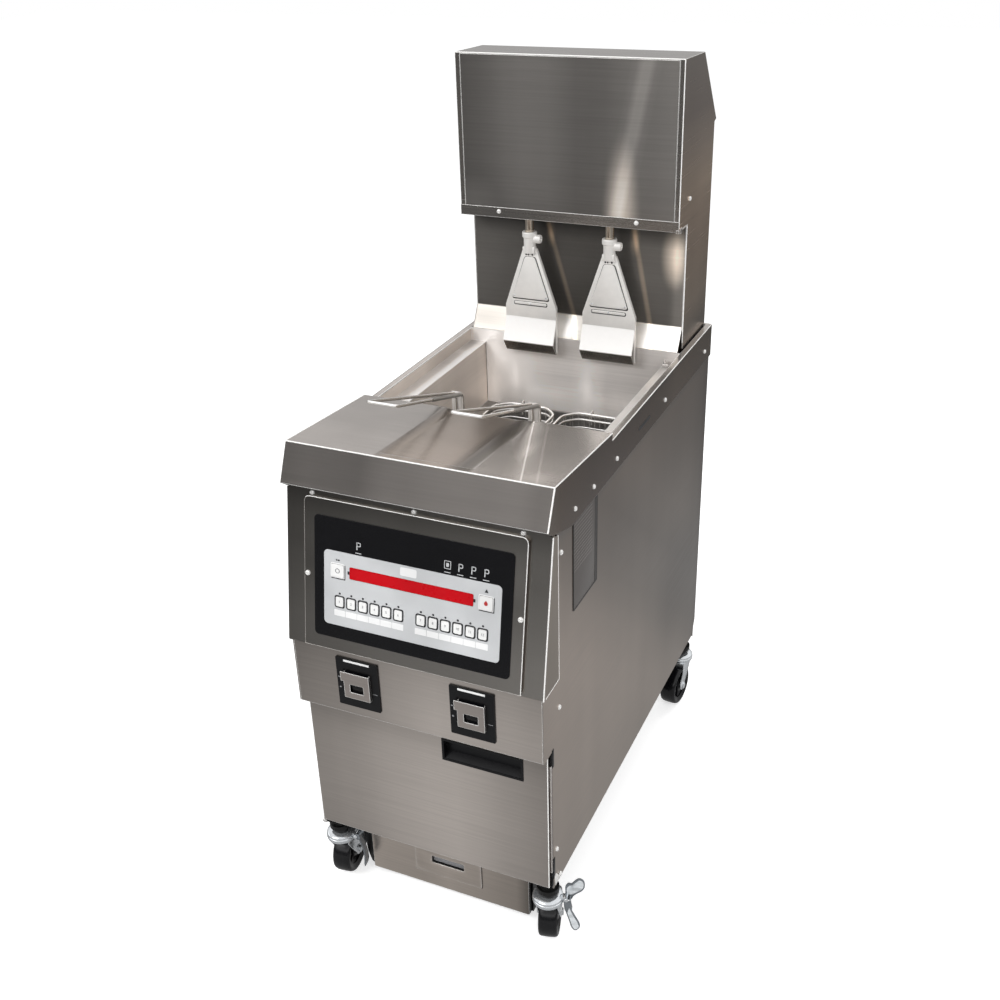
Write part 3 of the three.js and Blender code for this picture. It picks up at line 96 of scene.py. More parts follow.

# Painted light and shade on the metals: soft bands of painted reflection, highlight and shadow that are
# multiplied into the colour. Each band gives the side that it lies on (an axis with its sign, or None),
# the direction that it changes along, and its stops: millimetres along that direction, each followed by a
# level or a colour. A spot of painted light (or of painted shade, where its level is under 1) gives its
# marker, its middle, its three half sizes and its level. A ramp's colours end at 1, so a band's levels go
# into it as shares of BAND_TOP. HALO is the painted reflection beside a lift rod.

BAND_TOP = 10
PAINTED_SPOT = "glow"
ALONG_X, ALONG_Y, ALONG_Z = (1, 0, 0), (0, 1, 0), (0, 0, 1)
FRONT, TOP, UNDER, RIGHT, LEFT = ("Y", -1), ("Z", 1), ("Z", -1), ("X", 1), ("X", -1)
HALO = (2.2, 1.95, 1.7)
PAINTED_BANDS = {
    "deck_steel": (
        (FRONT, ALONG_X, -252, 0.23, -200, 0.265, -150, 0.25, -100, 0.225, -50, 0.31, 0, 0.34, 50, 0.36,
         200, 0.37, 230, 0.32, 252, 0.34),
        (FRONT, ALONG_Z, 938, 1.15, 960, 1.03, 1006, 0.92),
        (RIGHT, ALONG_Y, -491, (0.2, 0.165, 0.13), -440, (0.135, 0.09, 0.058), -300, (0.1, 0.064, 0.042),
         -200, (0.118, 0.078, 0.056), 0, (0.118, 0.078, 0.05), 100, (0.136, 0.092, 0.058),
         200, (0.192, 0.142, 0.1), 300, (0.172, 0.122, 0.08), 464, (0.154, 0.11, 0.07)),
        (LEFT, ALONG_X, -252, (0.3, 0.275, 0.255), 0, (0.3, 0.275, 0.255)),
        (TOP, ALONG_X, -252, 0.88, -86, 0.86, -81, 0.84, -77, (0.55, 0.52, 0.5), -62, (0.72, 0.66, 0.6),
         -20, (0.82, 0.75, 0.69), 50, (0.8, 0.73, 0.67), 66, (0.5, 0.46, 0.43), 80, (0.32, 0.3, 0.28),
         96, (0.42, 0.4, 0.37), 104, 1.1, 140, 1.15, 200, 1.3, 252, 1.3),
        (TOP, ALONG_Y, -460, 1.14, -380, 1.1, -330, 1, -188, 0.94),
        (TOP, (1, 0.335, 0), 20, 1, 30, 1.12, 36.2, 1.2, 38.7, 2.6, 41, 1.1, 50, 1, 63, 1,
         67, 1.3, 70, 1, 80, 1),
        (PAINTED_SPOT, (214, -432, 1002), (36, 40, 30), 1.25),
        (PAINTED_SPOT, (150, -330, 988), (20, 70, 30), 1.4),
        (PAINTED_SPOT, (247, 140, 971), (14, 440, 20), 0.45),
        (PAINTED_SPOT, (-247, 60, 971), (14, 440, 20), 1.7),
    ),
    "housing_steel": (
        (FRONT, ALONG_X, -253, 0.68, -200, 0.76, 0, 0.98, 100, 1.08, 200, 1.24, 253, 1.34),
        (FRONT, ALONG_Z, 630, 0.94, 686, 0.99, 725, 0.93, 764, 0.88, 803, 0.876, 843, 0.87, 882, 0.74,
         912, 0.52, 922, 0.48),
        (RIGHT, ALONG_X, 0, (0.76, 0.69, 0.63), 253, (0.76, 0.69, 0.63)),
    ),
    "cover_steel": (
        (FRONT, ALONG_X, -226, 1.06, -190, 1.23, -160, 1.47, -130, 1.8, -100, 1.95, -40, 1.9, 20, 1.43,
         50, 1.41, 80, 1.5, 125, 1.86, 150, 2, 180, 2.03, 226, 2.23),
        (FRONT, ALONG_Z, 1235, 0.62, 1260, 0.644, 1300, 0.693, 1360, 0.748, 1420, 0.76, 1480, 0.766,
         1530, 0.8, 1553, 0.8),
        (FRONT, (1, 0, -0.2), -180, 1, -167, 1.12, -153, 1.6, -139, 1.6, -127, 1.12, -114, 1),
        (PAINTED_SPOT, (116, 234, 1245), (45, 30, 185), (3.8, 3.6, 3.4)),
        (PAINTED_SPOT, (-215, 234, 1262), (75, 30, 70), 1.5),
    ),
    "tower_steel": (
        (RIGHT, ALONG_Z, 970, (0.7, 0.62, 0.54), 1000, (0.8, 0.7, 0.6), 1060, (1.52, 1.28, 1.06),
         1140, (1.85, 1.53, 1.26), 1220, (2.1, 1.72, 1.42), 1300, (2.05, 1.7, 1.38),
         1380, (1.25, 1.06, 0.91), 1450, (0.74, 0.63, 0.57), 1556, (0.65, 0.58, 0.53)),
    ),
    "splash_steel": (
        (None, ALONG_Z, 972, 6.4, 1018, 6.4, 1020, 0.8, 1100, 0.92, 1180, 0.92, 1205, 0.7, 1225, 0.42,
         1254, 0.36),
        (FRONT, ALONG_X, -235, 0.9, -140, 0.82, -110, 0.66, 0, 0.6, 60, 0.6, 140, 1, 200, 0.95,
         208, 1.05, 218, 1.5, 235, 1.6),
        (FRONT, (1, 0, 0.296), 288.5, 1, 294.5, HALO, 298.5, HALO, 303.5, 1),
        (FRONT, (1, 0, 0.199), 360, 1, 366, HALO, 370, HALO, 375, 1),
        (PAINTED_SPOT, (-57, 289, 1196), (13, 30, 40), (2.6, 2.3, 2)),
        (PAINTED_SPOT, (128, 289, 1196), (14, 30, 46), (2.6, 2.3, 2)),
        (PAINTED_SPOT, (214, 289, 1165), (34, 30, 80), (5.4, 4.95, 4.5)),
        (PAINTED_SPOT, (-222, 275, 995), (110, 60, 45), 0.68),
        (PAINTED_SPOT, (-34, 272, 995), (58, 60, 45), (2.5, 2.55, 2.6)),
        (PAINTED_SPOT, (154, 272, 995), (30, 60, 45), 1.3),
    ),
    "switch_steel": (
        (FRONT, ALONG_X, -248, 0.7, -190, 0.82, -75, 1.04, -40, 1.2, 0, 1.34, 40, 1.43, 120, 1.36,
         180, 1.3, 248, 1.2),
        (FRONT, ALONG_Z, 472, 0.95, 500, 1.06, 560, 1.02, 600, 0.96, 628, 0.9),
    ),
    "door_steel": (
        (FRONT, ALONG_X, -248, 0.94, -210, 0.98, -160, 1.12, -110, 1.36, -60, 1.46, 0, 1.6, 60, 1.58,
         110, 1.44, 160, 1.24, 200, 1.1, 246, 0.95),
        (FRONT, ALONG_Z, 172, 1.08, 250, 1.06, 300, 1.04, 350, 1, 400, 0.95, 430, 0.88, 460, 0.75,
         472, 0.78, 484, 0.98),
    ),
    "side_steel": (
        (RIGHT, (0, 0.75, 1), 300, 1.12, 350, 1.06, 400, 0.93, 450, 0.8, 500, 0.62, 550, 0.49, 600, 0.43,
         700, 0.4, 775, 0.5, 820, 0.55),
        (RIGHT, ALONG_Y, -515, 0.95, -450, 0.98, 350, 0.98, 420, 0.85, 459, 0.6),
        (RIGHT, ALONG_Z, 162, (1, 0.96, 0.92), 760, (1.03, 0.96, 0.91), 880, (1.17, 1.07, 1),
         905, (1, 0.96, 0.93), 925, (0.68, 0.65, 0.62), 945, (0.43, 0.41, 0.385),
         968, (0.4, 0.375, 0.35)),
        (PAINTED_SPOT, (250, 330, 430), (30, 300, 260), 0.62),
    ),
    "pan_steel": (
        (FRONT, ALONG_X, -177, 1.6, -140, 1.46, -60, 1.4, 0, 1.55, 60, 1.28, 100, 1.2, 150, 1.06,
         177, 0.5),
    ),
    # Painted reflections on the pot's walls, and painted shade deep in the pot below the shelf
    "pot_steel": (
        (FRONT, ALONG_X, -242, 1.1, -205, 1.6, -183, 2.2, -172, 2, -150, 1.65, -120, 1.35, -80, 1.07,
         -40, 1.03, 0, 1.13, 40, 1.3, 80, 1.07, 140, 1, 242, 0.95),
        (None, ALONG_Z, 611, 0.2, 797, 0.22, 803, 1.2, 850, 1.15, 880, 1.05, 972, 1),
        (RIGHT, ALONG_Y, -165, (0.86, 0.81, 0.76), 30, (0.86, 0.81, 0.76), 60, (0.76, 0.71, 0.66),
         120, (0.67, 0.62, 0.58), 210, (0.63, 0.59, 0.55), 262, (0.74, 0.69, 0.64)),
        (RIGHT, ALONG_Z, 801, 1.3, 860, 1.2, 900, 1, 943, 1),
        (TOP, ALONG_X, -242, 0.95, -224, 1.1, -214, 1.5, -206, 1.6, -203, 1, 205, 1, 242, 1),
        (TOP, ALONG_Y, -165, 1, 190, 1, 240, 0.62, 262, 0.6),
        (TOP, ALONG_Z, 790, 0.5, 801.5, 0.5, 806, 1, 972, 1),
        (PAINTED_SPOT, (-136, 262, 860), (18, 20, 60), 1.3),
        (PAINTED_SPOT, (32, 262, 860), (20, 20, 60), 1.25),
    ),
    # Painted light on the wires: lighter tops, darker sides and undersides
    "wire_metal": (
        (RIGHT, ALONG_X, -300, (0.42, 0.39, 0.36), 300, (0.42, 0.39, 0.36)),
        (LEFT, ALONG_X, -300, 0.5, 300, 0.5),
        (TOP, ALONG_X, -300, 1.25, 300, 1.25),
        (UNDER, ALONG_X, -300, 0.4, 300, 0.4),
    ),
}

# Materials, kept by name in LOOKS

LOOKS = {}


def color_of(level, share=1):
    """A share of a level or of a colour, with its alpha."""
    return (*(c * share for c in (level if isinstance(level, tuple) else (level,) * 3)), 1)


class Nodes:
    """A node tree with short calls. An input is given a value, or the socket that feeds it."""

    def __init__(self, tree):
        self.tree = tree

    def feed(self, socket, value):
        if isinstance(value, bpy.types.NodeSocket):
            self.tree.links.new(value, socket)
        else:
            socket.default_value = value

    def add(self, kind, inputs=None, **settings):
        node = self.tree.nodes.new("ShaderNode" + kind)
        for key, value in settings.items():
            setattr(node, key, value)
        for key, value in (inputs or {}).items():
            self.feed(node.inputs[key], value)
        return node

    def number(self, operation, *values):
        return self.add("Math", dict(enumerate(values)), operation=operation).outputs[0]

    def vector(self, operation, *values):
        node = self.add("VectorMath", dict(enumerate(values)), operation=operation)
        return node.outputs["Value" if operation in ("DOT_PRODUCT", "LENGTH") else "Vector"]

    def coordinates(self, kind):
        return self.add("TexCoord").outputs[kind]

    def parts(self, vector):
        return self.add("SeparateXYZ", {0: vector}).outputs

    def position(self, scale):
        place = {"Vector": self.coordinates("Object"), "Scale": scale}
        return self.add("Mapping", place).outputs["Vector"]

    def noise(self, vector, detail):
        texture = {"Vector": vector, "Scale": 1, "Detail": detail, "Roughness": 0.5}
        return self.add("TexNoise", texture).outputs["Fac"]

    def ramp(self, value, low, high, out_low=0, out_high=1, **settings):
        limits = {"Value": value, "From Min": low, "From Max": high, "To Min": out_low,
                  "To Max": out_high}
        return self.add("MapRange", limits, **settings).outputs["Result"]

    def color_ramp(self, value, stops, share=1):
        """Stops from 0 to 1, each a place with its level or colour."""
        node = self.add("ValToRGB", {"Fac": value})
        elements = node.color_ramp.elements
        for place, _ in stops[1:-1]:
            elements.new(place)
        for element, (_, level) in zip(elements, stops):
            element.color = color_of(level, share)
        return node.outputs["Color"]

    def mix(self, share, first, second, **settings):
        return self.add("Mix", {0: share, 6: first, 7: second}, data_type="RGBA", **settings).outputs[2]

    def mix_shader(self, share, first, second):
        return self.add("MixShader", {0: share, 1: first, 2: second}).outputs[0]

    def bump(self, height, strength, distance):
        return self.add("Bump", {"Height": height, "Strength": strength, "Distance": distance})

    def bevel(self, radius, samples):
        return self.add("Bevel", {"Radius": radius * MM}, samples=samples).outputs["Normal"]


def new_material(name):
    """A new look: its node tree, and the inputs of its shader."""
    material = LOOKS[name] = bpy.data.materials.new(name)
    material.use_nodes = True
    return Nodes(material.node_tree), material.node_tree.nodes["Principled BSDF"].inputs


def grain_vector(n):
    """Lines run along x on faces that look forward or up, and along y on faces that look sideways."""
    normal = n.parts(n.coordinates("Normal"))
    vector = n.position((5, 5, 280))
    for axis, scale in (("X", (5, 5, 280)), ("Z", (5, 280, 5))):
        looks = n.number("GREATER_THAN", n.number("ABSOLUTE", normal[axis]), 0.7)
        mix = n.add("Mix", {0: looks, 4: vector, 5: n.position(scale)}, data_type="VECTOR")
        vector = mix.outputs[1]
    return vector


def banded(n, tone, bands):
    """The tone under its painted light and shade: its bands and spots."""
    local = n.vector("SUBTRACT", n.coordinates("Object"), ORIGIN)
    normal = n.parts(n.coordinates("Normal"))
    for side, direction, *stops in bands:
        # A spot of painted light, or of painted shade where its level is under 1
        if side == PAINTED_SPOT:
            size, level = stops
            reach = n.vector("SUBTRACT", local, Vector(direction) * MM)
            share = n.vector("LENGTH", n.vector("DIVIDE", reach, Vector(size) * MM))
            fade = n.ramp(share, 1, 0, interpolation_type="SMOOTHSTEP")
            tone = n.mix(fade, tone, color_of(level), blend_type="MULTIPLY")
            continue
        first, last = stops[0], stops[-2]
        along = n.ramp(n.vector("DOT_PRODUCT", local, direction), first * MM, last * MM)
        places = [(place - first) / (last - first) for place in stops[::2]]
        colors = n.color_ramp(along, list(zip(places, stops[1::2])), 1 / BAND_TOP)
        raised = n.add("VectorMath", {0: colors, "Scale": BAND_TOP}, operation="SCALE").outputs[0]
        share = n.ramp(normal[side[0]], 0.5 * side[1], 0.7 * side[1]) if side else 1
        tone = n.mix(share, tone, raised, blend_type="MULTIPLY")
    return tone


# The colour of the painted highlight on the edges
EDGE_GLINT = (0.96, 0.95, 0.93, 1)


def metal(name, color, roughness, contrast=0.05, bump=0.008, edge=2.2, blotch=0.04, streak=0.05,
          anisotropy=0.0, brushed=True, edge_light=0.9, pale=0.0, side_edges=True, waves=0.0):
    """Sheet or plated metal: fine lines, painted sheen in slow vertical streaks, a slight cloudiness and
    painted edge highlights.

    Its painted light and shade are the bands listed under its name.
    """
    n, shader = new_material(name)
    grain = n.noise(grain_vector(n) if brushed else n.position((90, 90, 90)), 3)
    clouds = n.noise(n.position((3, 3, 3)), 2)
    # Painted sheen: slow vertical streaks in the colour
    sheen = n.noise(n.position((9, 9, 0.9)), 1)
    grain_level, cloud_level, sheen_level = (
        n.ramp(value, 0.3, 0.7, -share, share)
        for value, share in ((grain, contrast), (clouds, blotch), (sheen, streak)))
    total = n.number("ADD", n.number("ADD", grain_level, cloud_level), sheen_level)
    tone = n.mix(n.ramp(total, -0.3, 0.3), color_of(color, 0.7), color_of(color, 1.3))
    if name in PAINTED_BANDS:
        tone = banded(n, tone, PAINTED_BANDS[name])
    n.feed(shader["Roughness"], n.ramp(grain, 0.3, 0.7, roughness * (1 - 1.5 * contrast),
                                       roughness * (1 + 2 * contrast)))
    shader["Metallic"].default_value = 1 - pale
    shader["Anisotropic"].default_value = anisotropy
    shader["Anisotropic Rotation"].default_value = 0.25
    if anisotropy:
        n.feed(shader["Tangent"], n.add("Tangent", direction_type="RADIAL", axis="Z").outputs["Tangent"])
    lowest = raised = n.bump(grain, bump, 0.0004)
    if waves:
        lowest = n.bump(n.noise(n.position((60, 60, 60)), 0), waves, 0.012)
        n.feed(raised.inputs["Normal"], lowest.outputs["Normal"])
    # A painted highlight on the edges: where the bevel shader rounds the normal, the colour turns pale
    # and less metallic
    if edge:
        rounded_normal = n.bevel(edge, 12)
        n.feed(lowest.inputs["Normal"], rounded_normal)
        flat = n.add("NewGeometry").outputs["True Normal"]
        mask = n.ramp(n.vector("DOT_PRODUCT", rounded_normal, flat), 0.99, 0.9)
        if not side_edges:
            sideways = n.number("ABSOLUTE", n.parts(n.coordinates("Normal"))["X"])
            mask = n.number("MULTIPLY", mask, n.ramp(sideways, 0.7, 0.8, 1, 0))
        tone = n.mix(n.ramp(mask, 0, 1, 0, edge_light), tone, EDGE_GLINT)
        n.feed(shader["Metallic"],
               n.ramp(mask, 0, 1, 1 - pale, (1 - pale) * (1 - 0.75 * edge_light)))
    n.feed(shader["Base Color"], tone)
    n.feed(shader["Normal"], raised.outputs["Normal"])


def smooth_metal(name, color, roughness, contrast=0.02, streak=0, edge=0, bump=0, **settings):
    """Metal without brushed lines."""
    metal(name, color, roughness, contrast, bump, edge, streak=streak, brushed=False, **settings)


def coated(name, color, roughness, bump=0.1, specular=0.5, edge=0.6):
    """Plastic, rubber or paint: an even colour with a fine moulded texture and slight mottling."""
    n, shader = new_material(name)
    fine = n.noise(n.position((60, 60, 60)), 3)
    slow = n.ramp(n.noise(n.position((9, 9, 9)), 2), 0.3, 0.7)
    n.feed(shader["Base Color"], n.mix(slow, color_of(color, 0.9), color_of(color, 1.1)))
    n.feed(shader["Roughness"], n.ramp(fine, 0.3, 0.7, roughness * 0.85, roughness * 1.15))
    shader["Specular IOR Level"].default_value = specular
    raised = n.bump(fine, bump, 0.0002)
    if edge:
        n.feed(raised.inputs["Normal"], n.bevel(edge, 4))
    n.feed(shader["Normal"], raised.outputs["Normal"])


metal("sheet_steel", (0.5, 0.45, 0.42), 0.3, anisotropy=0.5)
metal("deck_steel", (0.5, 0.46, 0.43), 0.22, pale=0.3, side_edges=False)
metal("housing_steel", (0.45, 0.425, 0.395), 0.28, 0.01, 0, 0, anisotropy=0.5)
metal("tower_steel", (0.4, 0.375, 0.35), 0.25, anisotropy=0.4)
metal("cover_steel", (0.196, 0.185, 0.174), 0.22, anisotropy=0.6, pale=0.3)
metal("splash_steel", (0.16, 0.15, 0.138), 0.3, anisotropy=0.4, pale=0.6)
metal("switch_steel", (0.5, 0.455, 0.42), 0.3, anisotropy=0.5)
metal("door_steel", (0.5, 0.455, 0.42), 0.3, anisotropy=0.5)
metal("side_steel", (0.5, 0.455, 0.42), 0.3, anisotropy=0.5, edge=0)
metal("pan_steel", (0.52, 0.46, 0.41), 0.3, anisotropy=0.5)
metal("pot_steel", (0.84, 0.8, 0.77), 0.36, blotch=0.08, edge_light=0.5, pale=0.5)
# Painted shade: a dark copy of the hanger's steel for the nose's lower face, also used for the dark line
# along the left rail
metal("shaded_steel", (0.27, 0.245, 0.22), 0.25, 0.03, 0, 0)
metal("gusset_steel", (0.85, 0.82, 0.79), 0.3, 0.03, edge=0, pale=0.6)
metal("plate_metal", (0.115, 0.105, 0.1), 0.4, 0.03, 0, 0, pale=0.7)
smooth_metal("satin_steel", (0.92, 0.9, 0.87), 0.42, streak=0.02, pale=0.6)
smooth_metal("bright_steel", (0.93, 0.91, 0.89), 0.16, streak=0.03, pale=0.15)
smooth_metal("plated", (0.84, 0.87, 0.9), 0.14, edge=0.8, edge_light=0.5, pale=0.16)
# Painted shade and painted highlight on the brake levers: a darkened copy of the zinc for their plates, a
# pale one for the wing lever's faces
smooth_metal("shaded_zinc", (0.22, 0.24, 0.26), 0.2, pale=0.5)
smooth_metal("highlight_zinc", (0.86, 0.9, 0.93), 0.12, pale=0.7, waves=1)
# Painted highlight: a pale steel for the hanger nose's upper face and for the bright wires along the
# sheet bends
smooth_metal("highlight_steel", (1, 0.985, 0.965), 0.3, 0.01, 0.01, pale=0.85)
# Painted shade: a dimmer copy of it for the darker lines along edges
smooth_metal("shaded_edge", (0.55, 0.52, 0.49), 0.3, 0.01, 0.01, pale=0.5)
smooth_metal("screw_metal", (0.97, 0.96, 0.94), 0.22, 0.05, bump=0.008, pale=0.6)
smooth_metal("wire_metal", (1, 0.97, 0.93), 0.1, 0.03, 0.05, pale=0.35)
metal("rod_metal", (0.6, 0.53, 0.45), 0.12, edge=0, brushed=False)
metal("element_metal", (0.22, 0.2, 0.18), 0.4, edge=0, brushed=False)
metal("sleeve_metal", (0.4, 0.38, 0.36), 0.34, 0.06, edge=0, brushed=False)
metal("line_metal", (0.27, 0.25, 0.235), 0.4, edge=0, brushed=False, pale=0.7)
metal("dark_metal", (0.045, 0.042, 0.04), 0.4, edge=0, brushed=False, pale=0.6)
coated("black_plastic", (0.004, 0.004, 0.005), 0.34, specular=0.25)
coated("black_gloss", (0.005, 0.005, 0.006), 0.2, 0.03, 0.35)
coated("black_paint", (0.006, 0.006, 0.006), 0.32, specular=0.35)
coated("rubber", (0.005, 0.005, 0.006), 0.2, specular=0.45)
coated("key_white", (0.8, 0.8, 0.79), 0.4, 0.03)
coated("key_grey", (0.25, 0.25, 0.26), 0.4, 0.03)
coated("field_grey", (0.54, 0.55, 0.56), 0.42, 0.05)
coated("label_white", (0.82, 0.82, 0.82), 0.5, 0.02, edge=0)
coated("display_red", (0.5, 0.001, 0.006), 0.3, 0.01, 0.2)
coated("mark_red", (0.5, 0.03, 0.03), 0.4, 0.01, edge=0)
coated("mark_black", (0.02, 0.02, 0.022), 0.4, 0.01, edge=0)
coated("lever_red", (0.45, 0.015, 0.02), 0.4)

# The CAD nodes: a material by node, else by slot, else the one with the slot's own name
BY_SLOT = {
    "steel": "sheet_steel", "wire": "wire_metal", "hanger_steel": "satin_steel", "rod": "rod_metal",
    "zinc": "plated", "tyre": "rubber", "element": "element_metal",
}
BY_NODE = {
    "deck": "deck_steel", "control_housing": "housing_steel", "control_bezel": "housing_steel",
    "tower_cover": "cover_steel", "backsplash": "splash_steel", "switch_panel": "switch_steel",
    "door": "door_steel", "right_side_panel": "side_steel", "left_side_panel": "side_steel",
    "keypad_overlay": "black_gloss",
}
for part in frame["record"]["subparts"]:
    slot = part["material_slot"]
    mesh = frame["nodes"][part["node"]].data
    if not mesh.materials:
        mesh.materials.append(None)
    for index in range(len(mesh.materials)):
        mesh.materials[index] = LOOKS[BY_NODE.get(part["node"], BY_SLOT.get(slot, slot))]


# Mesh helpers: every piece is built in millimetres from the deck's middle


def add_piece(name, data, material, body, replaces=()):
    thing = linked(name, data)
    data.materials.append(LOOKS[material])
    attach(thing, body)
    if replaces:
        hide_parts(*replaces)


def add_mesh(name, shape, material, body, replaces=(), angle=35):
    """Turns a bmesh in millimetres into a piece in the row frame."""
    bmesh.ops.recalc_face_normals(shape, faces=shape.faces)
    shape.transform(move(ORIGIN) @ Matrix.Scale(MM, 4))
    mesh = bpy.data.meshes.new(name)
    shape.to_mesh(mesh)
    shape.free()
    for polygon in mesh.polygons:
        polygon.use_smooth = True
    mesh.set_sharp_from_angle(angle=radians(angle))
    add_piece(name, mesh, material, body, replaces)


def soften(shape, width):
    """Rounds the sharp edges of a bmesh."""
    sharp = [e for e in shape.edges if len(e.link_faces) == 2
             and e.calc_face_angle(0) > radians(35)]
    if sharp and width:
        bmesh.ops.bevel(shape, geom=sharp, offset=width, segments=2, affect="EDGES",
                        profile=0.5, clamp_overlap=True)


def rounded(u0, u1, v0, v1, radius, steps=5):
    """The corners of a rectangle with rounded corners."""
    points = []
    for cu, cv, start in ((u1 - radius, v1 - radius, 0), (u0 + radius, v1 - radius, 90),
                          (u0 + radius, v0 + radius, 180), (u1 - radius, v0 + radius, 270)):
        for i in range(steps + 1):
            a = radians(start + 90 * i / steps)
            points.append((cu + radius * cos(a), cv + radius * sin(a)))
    return points


def circle(radius):
    return [(radius * cos(tau * i / 24), radius * sin(tau * i / 24)) for i in range(24)]


AXES = {
    "x": Matrix(((0, 0, 1, 0), (1, 0, 0, 0), (0, 1, 0, 0), (0, 0, 0, 1))),
    "y": Matrix(((1, 0, 0, 0), (0, 0, -1, 0), (0, 1, 0, 0), (0, 0, 0, 1))),
}


def sheet_shape(outline, low, high, holes=(), bevel=0.0, place=None):
    """A flat plate with holes: its outline in (u, v), its thickness from low to high along w."""
    loops = [outline, *holes]
    triangles = tessellate_polygon([[Vector((u, v, 0)) for u, v in loop] for loop in loops])
    shape = bmesh.new()
    below, above = ([shape.verts.new((u, v, w)) for loop in loops for u, v in loop]
                    for w in (low, high))
    for a, b, c in triangles:
        shape.faces.new((below[c], below[b], below[a]))
    for a, b, c in triangles:
        shape.faces.new((above[a], above[b], above[c]))
    start = 0
    for loop in loops:
        count = len(loop)
        for i in range(count):
            a, b = start + i, start + (i + 1) % count
            shape.faces.new((below[a], below[b], above[b], above[a]))
        start += count
    bmesh.ops.recalc_face_normals(shape, faces=shape.faces)
    bmesh.ops.dissolve_limit(shape, angle_limit=radians(1), verts=shape.verts,
                             edges=shape.edges)
    soften(shape, bevel)
    if place:
        shape.transform(place)
    return shape




def plate(name, outline, low, high, axis, material, body="cabinet", slot="steel", holes=(), bevel=0.0,
          place=None):
    """A plate in the plane across axis: (y, z) across x, (x, z) across y."""
    if axis == "y":
        low, high = -high, -low
    shape = sheet_shape(outline, low, high, holes, bevel, AXES[axis])
    if place:
        shape.transform(place)
    add_mesh(name, shape, material, body, angle=40)


def lathe_shape(profile, steps, place=None):
    """A profile of (radius, height) turned about the z axis."""
    shape = bmesh.new()
    rings = []
    for radius, height in profile:
        count = 1 if radius < 1e-6 else steps
        rings.append([shape.verts.new((radius * cos(tau * i / steps),
                                       radius * sin(tau * i / steps), height))
                      for i in range(count)])
    for below, above in zip(rings, rings[1:]):
        if len(below) == len(above) == 1:
            continue
        for i in range(steps):
            j = (i + 1) % steps
            if len(below) == 1:
                shape.faces.new((below[0], above[i], above[j]))
            elif len(above) == 1:
                shape.faces.new((below[i], below[j], above[0]))
            else:
                shape.faces.new((below[i], below[j], above[j], above[i]))
    bmesh.ops.remove_doubles(shape, verts=shape.verts, dist=1e-5)
    if place:
        shape.transform(place)
    return shape


def merged(name, shapes, material, body="cabinet", slot="steel", replaces=(), angle=35):
    """Several bmeshes as one piece."""
    whole = bmesh.new()
    for shape in shapes:
        part = bpy.data.meshes.new("part")
        bmesh.ops.recalc_face_normals(shape, faces=shape.faces)
        shape.to_mesh(part)
        shape.free()
        whole.from_mesh(part)
        bpy.data.meshes.remove(part)
    add_mesh(name, whole, material, body, replaces, angle)


def pointing(direction, x, y, z):
    """Carries the z axis to a direction and the origin to a point in millimetres."""
    turn = Vector(direction).to_track_quat("Z", "Y").to_matrix().to_4x4()
    return move((x, y, z)) @ turn


def wires(name, paths, radius, material, body="cabinet", slot="steel", closed=False, replaces=(),
          resolution=3):
    """Round wires along paths of points in millimetres, as one piece."""
    curve = bpy.data.curves.new(name, "CURVE")
    curve.dimensions = "3D"
    curve.bevel_depth = radius * MM
    curve.bevel_resolution = resolution
    curve.use_fill_caps = True
    for path in paths:
        spline = curve.splines.new("POLY")
        spline.points.add(len(path) - 1)
        for point, target in zip(spline.points, path):
            point.co = (*at(*target), 1)
        spline.use_cyclic_u = closed
        spline.use_smooth = True
    add_piece(name, curve, material, body, replaces)


def rounded_path(points, radius, closed=False, steps=6):
    """The polyline with its corners rounded."""
    points = [Vector(p) for p in points]
    count = len(points)
    path = []
    for i, corner in enumerate(points):
        if not closed and i in (0, count - 1):
            path.append(tuple(corner))
            continue
        before = points[i - 1]
        after = points[(i + 1) % count]
        reach_in = min(radius, (before - corner).length / 2)
        reach_out = min(radius, (after - corner).length / 2)
        start = corner + (before - corner).normalized() * reach_in
        end = corner + (after - corner).normalized() * reach_out
        for k in range(steps + 1):
            t = k / steps
            path.append(tuple(start * (1 - t) ** 2 + corner * 2 * t * (1 - t) + end * t ** 2))
    return path


def rounded_outline(points, radius, steps=5):
    path = rounded_path([(u, v, 0) for u, v in points], radius, closed=True, steps=steps)
    return [(u, v) for u, v, _ in path]


def text_shape(words, height, depth):
    """A number as a bmesh standing in (x, z), facing -y, centred on the origin."""
    curve = bpy.data.curves.new("words", "FONT")
    curve.body = words
    curve.size = height * 1.4
    curve.extrude = depth / 2
    curve.align_x = "CENTER"
    curve.align_y = "CENTER"
    carrier = linked("words", curve)
    graph = bpy.context.evaluated_depsgraph_get()
    mesh = bpy.data.meshes.new_from_object(carrier.evaluated_get(graph))
    shape = bmesh.new()
    shape.from_mesh(mesh)
    bpy.data.objects.remove(carrier)
    bpy.data.meshes.remove(mesh)
    bpy.data.curves.remove(curve)
    shape.transform(Matrix.Rotation(pi / 2, 4, "X"))
    return shape


def box_shape(x0, x1, y0, y1, z0, z1, bevel=0.0):
    shape = bmesh.new()
    bmesh.ops.create_cube(shape, size=1)
    shape.transform(move(((x0 + x1) / 2, (y0 + y1) / 2, (z0 + z1) / 2))
                    @ Matrix.Diagonal((x1 - x0, y1 - y0, z1 - z0, 1)))
    soften(shape, bevel)
    return shape


# Screws: a pan head with a round recess in its top


def screw_shape(radius, height, place):
    return lathe_shape([(0, height * 0.55), (radius * 0.2, height * 0.55), (radius * 0.34, height),
                        (radius * 0.7, height * 0.92), (radius * 0.95, height * 0.5), (radius, 0),
                        (0, -height * 0.2)], 20, place)


def screws(name, places, direction, radius=5, material="screw_metal"):
    merged(name, [screw_shape(radius, 3.4, pointing(direction, *place)) for place in places],
           material, angle=50)


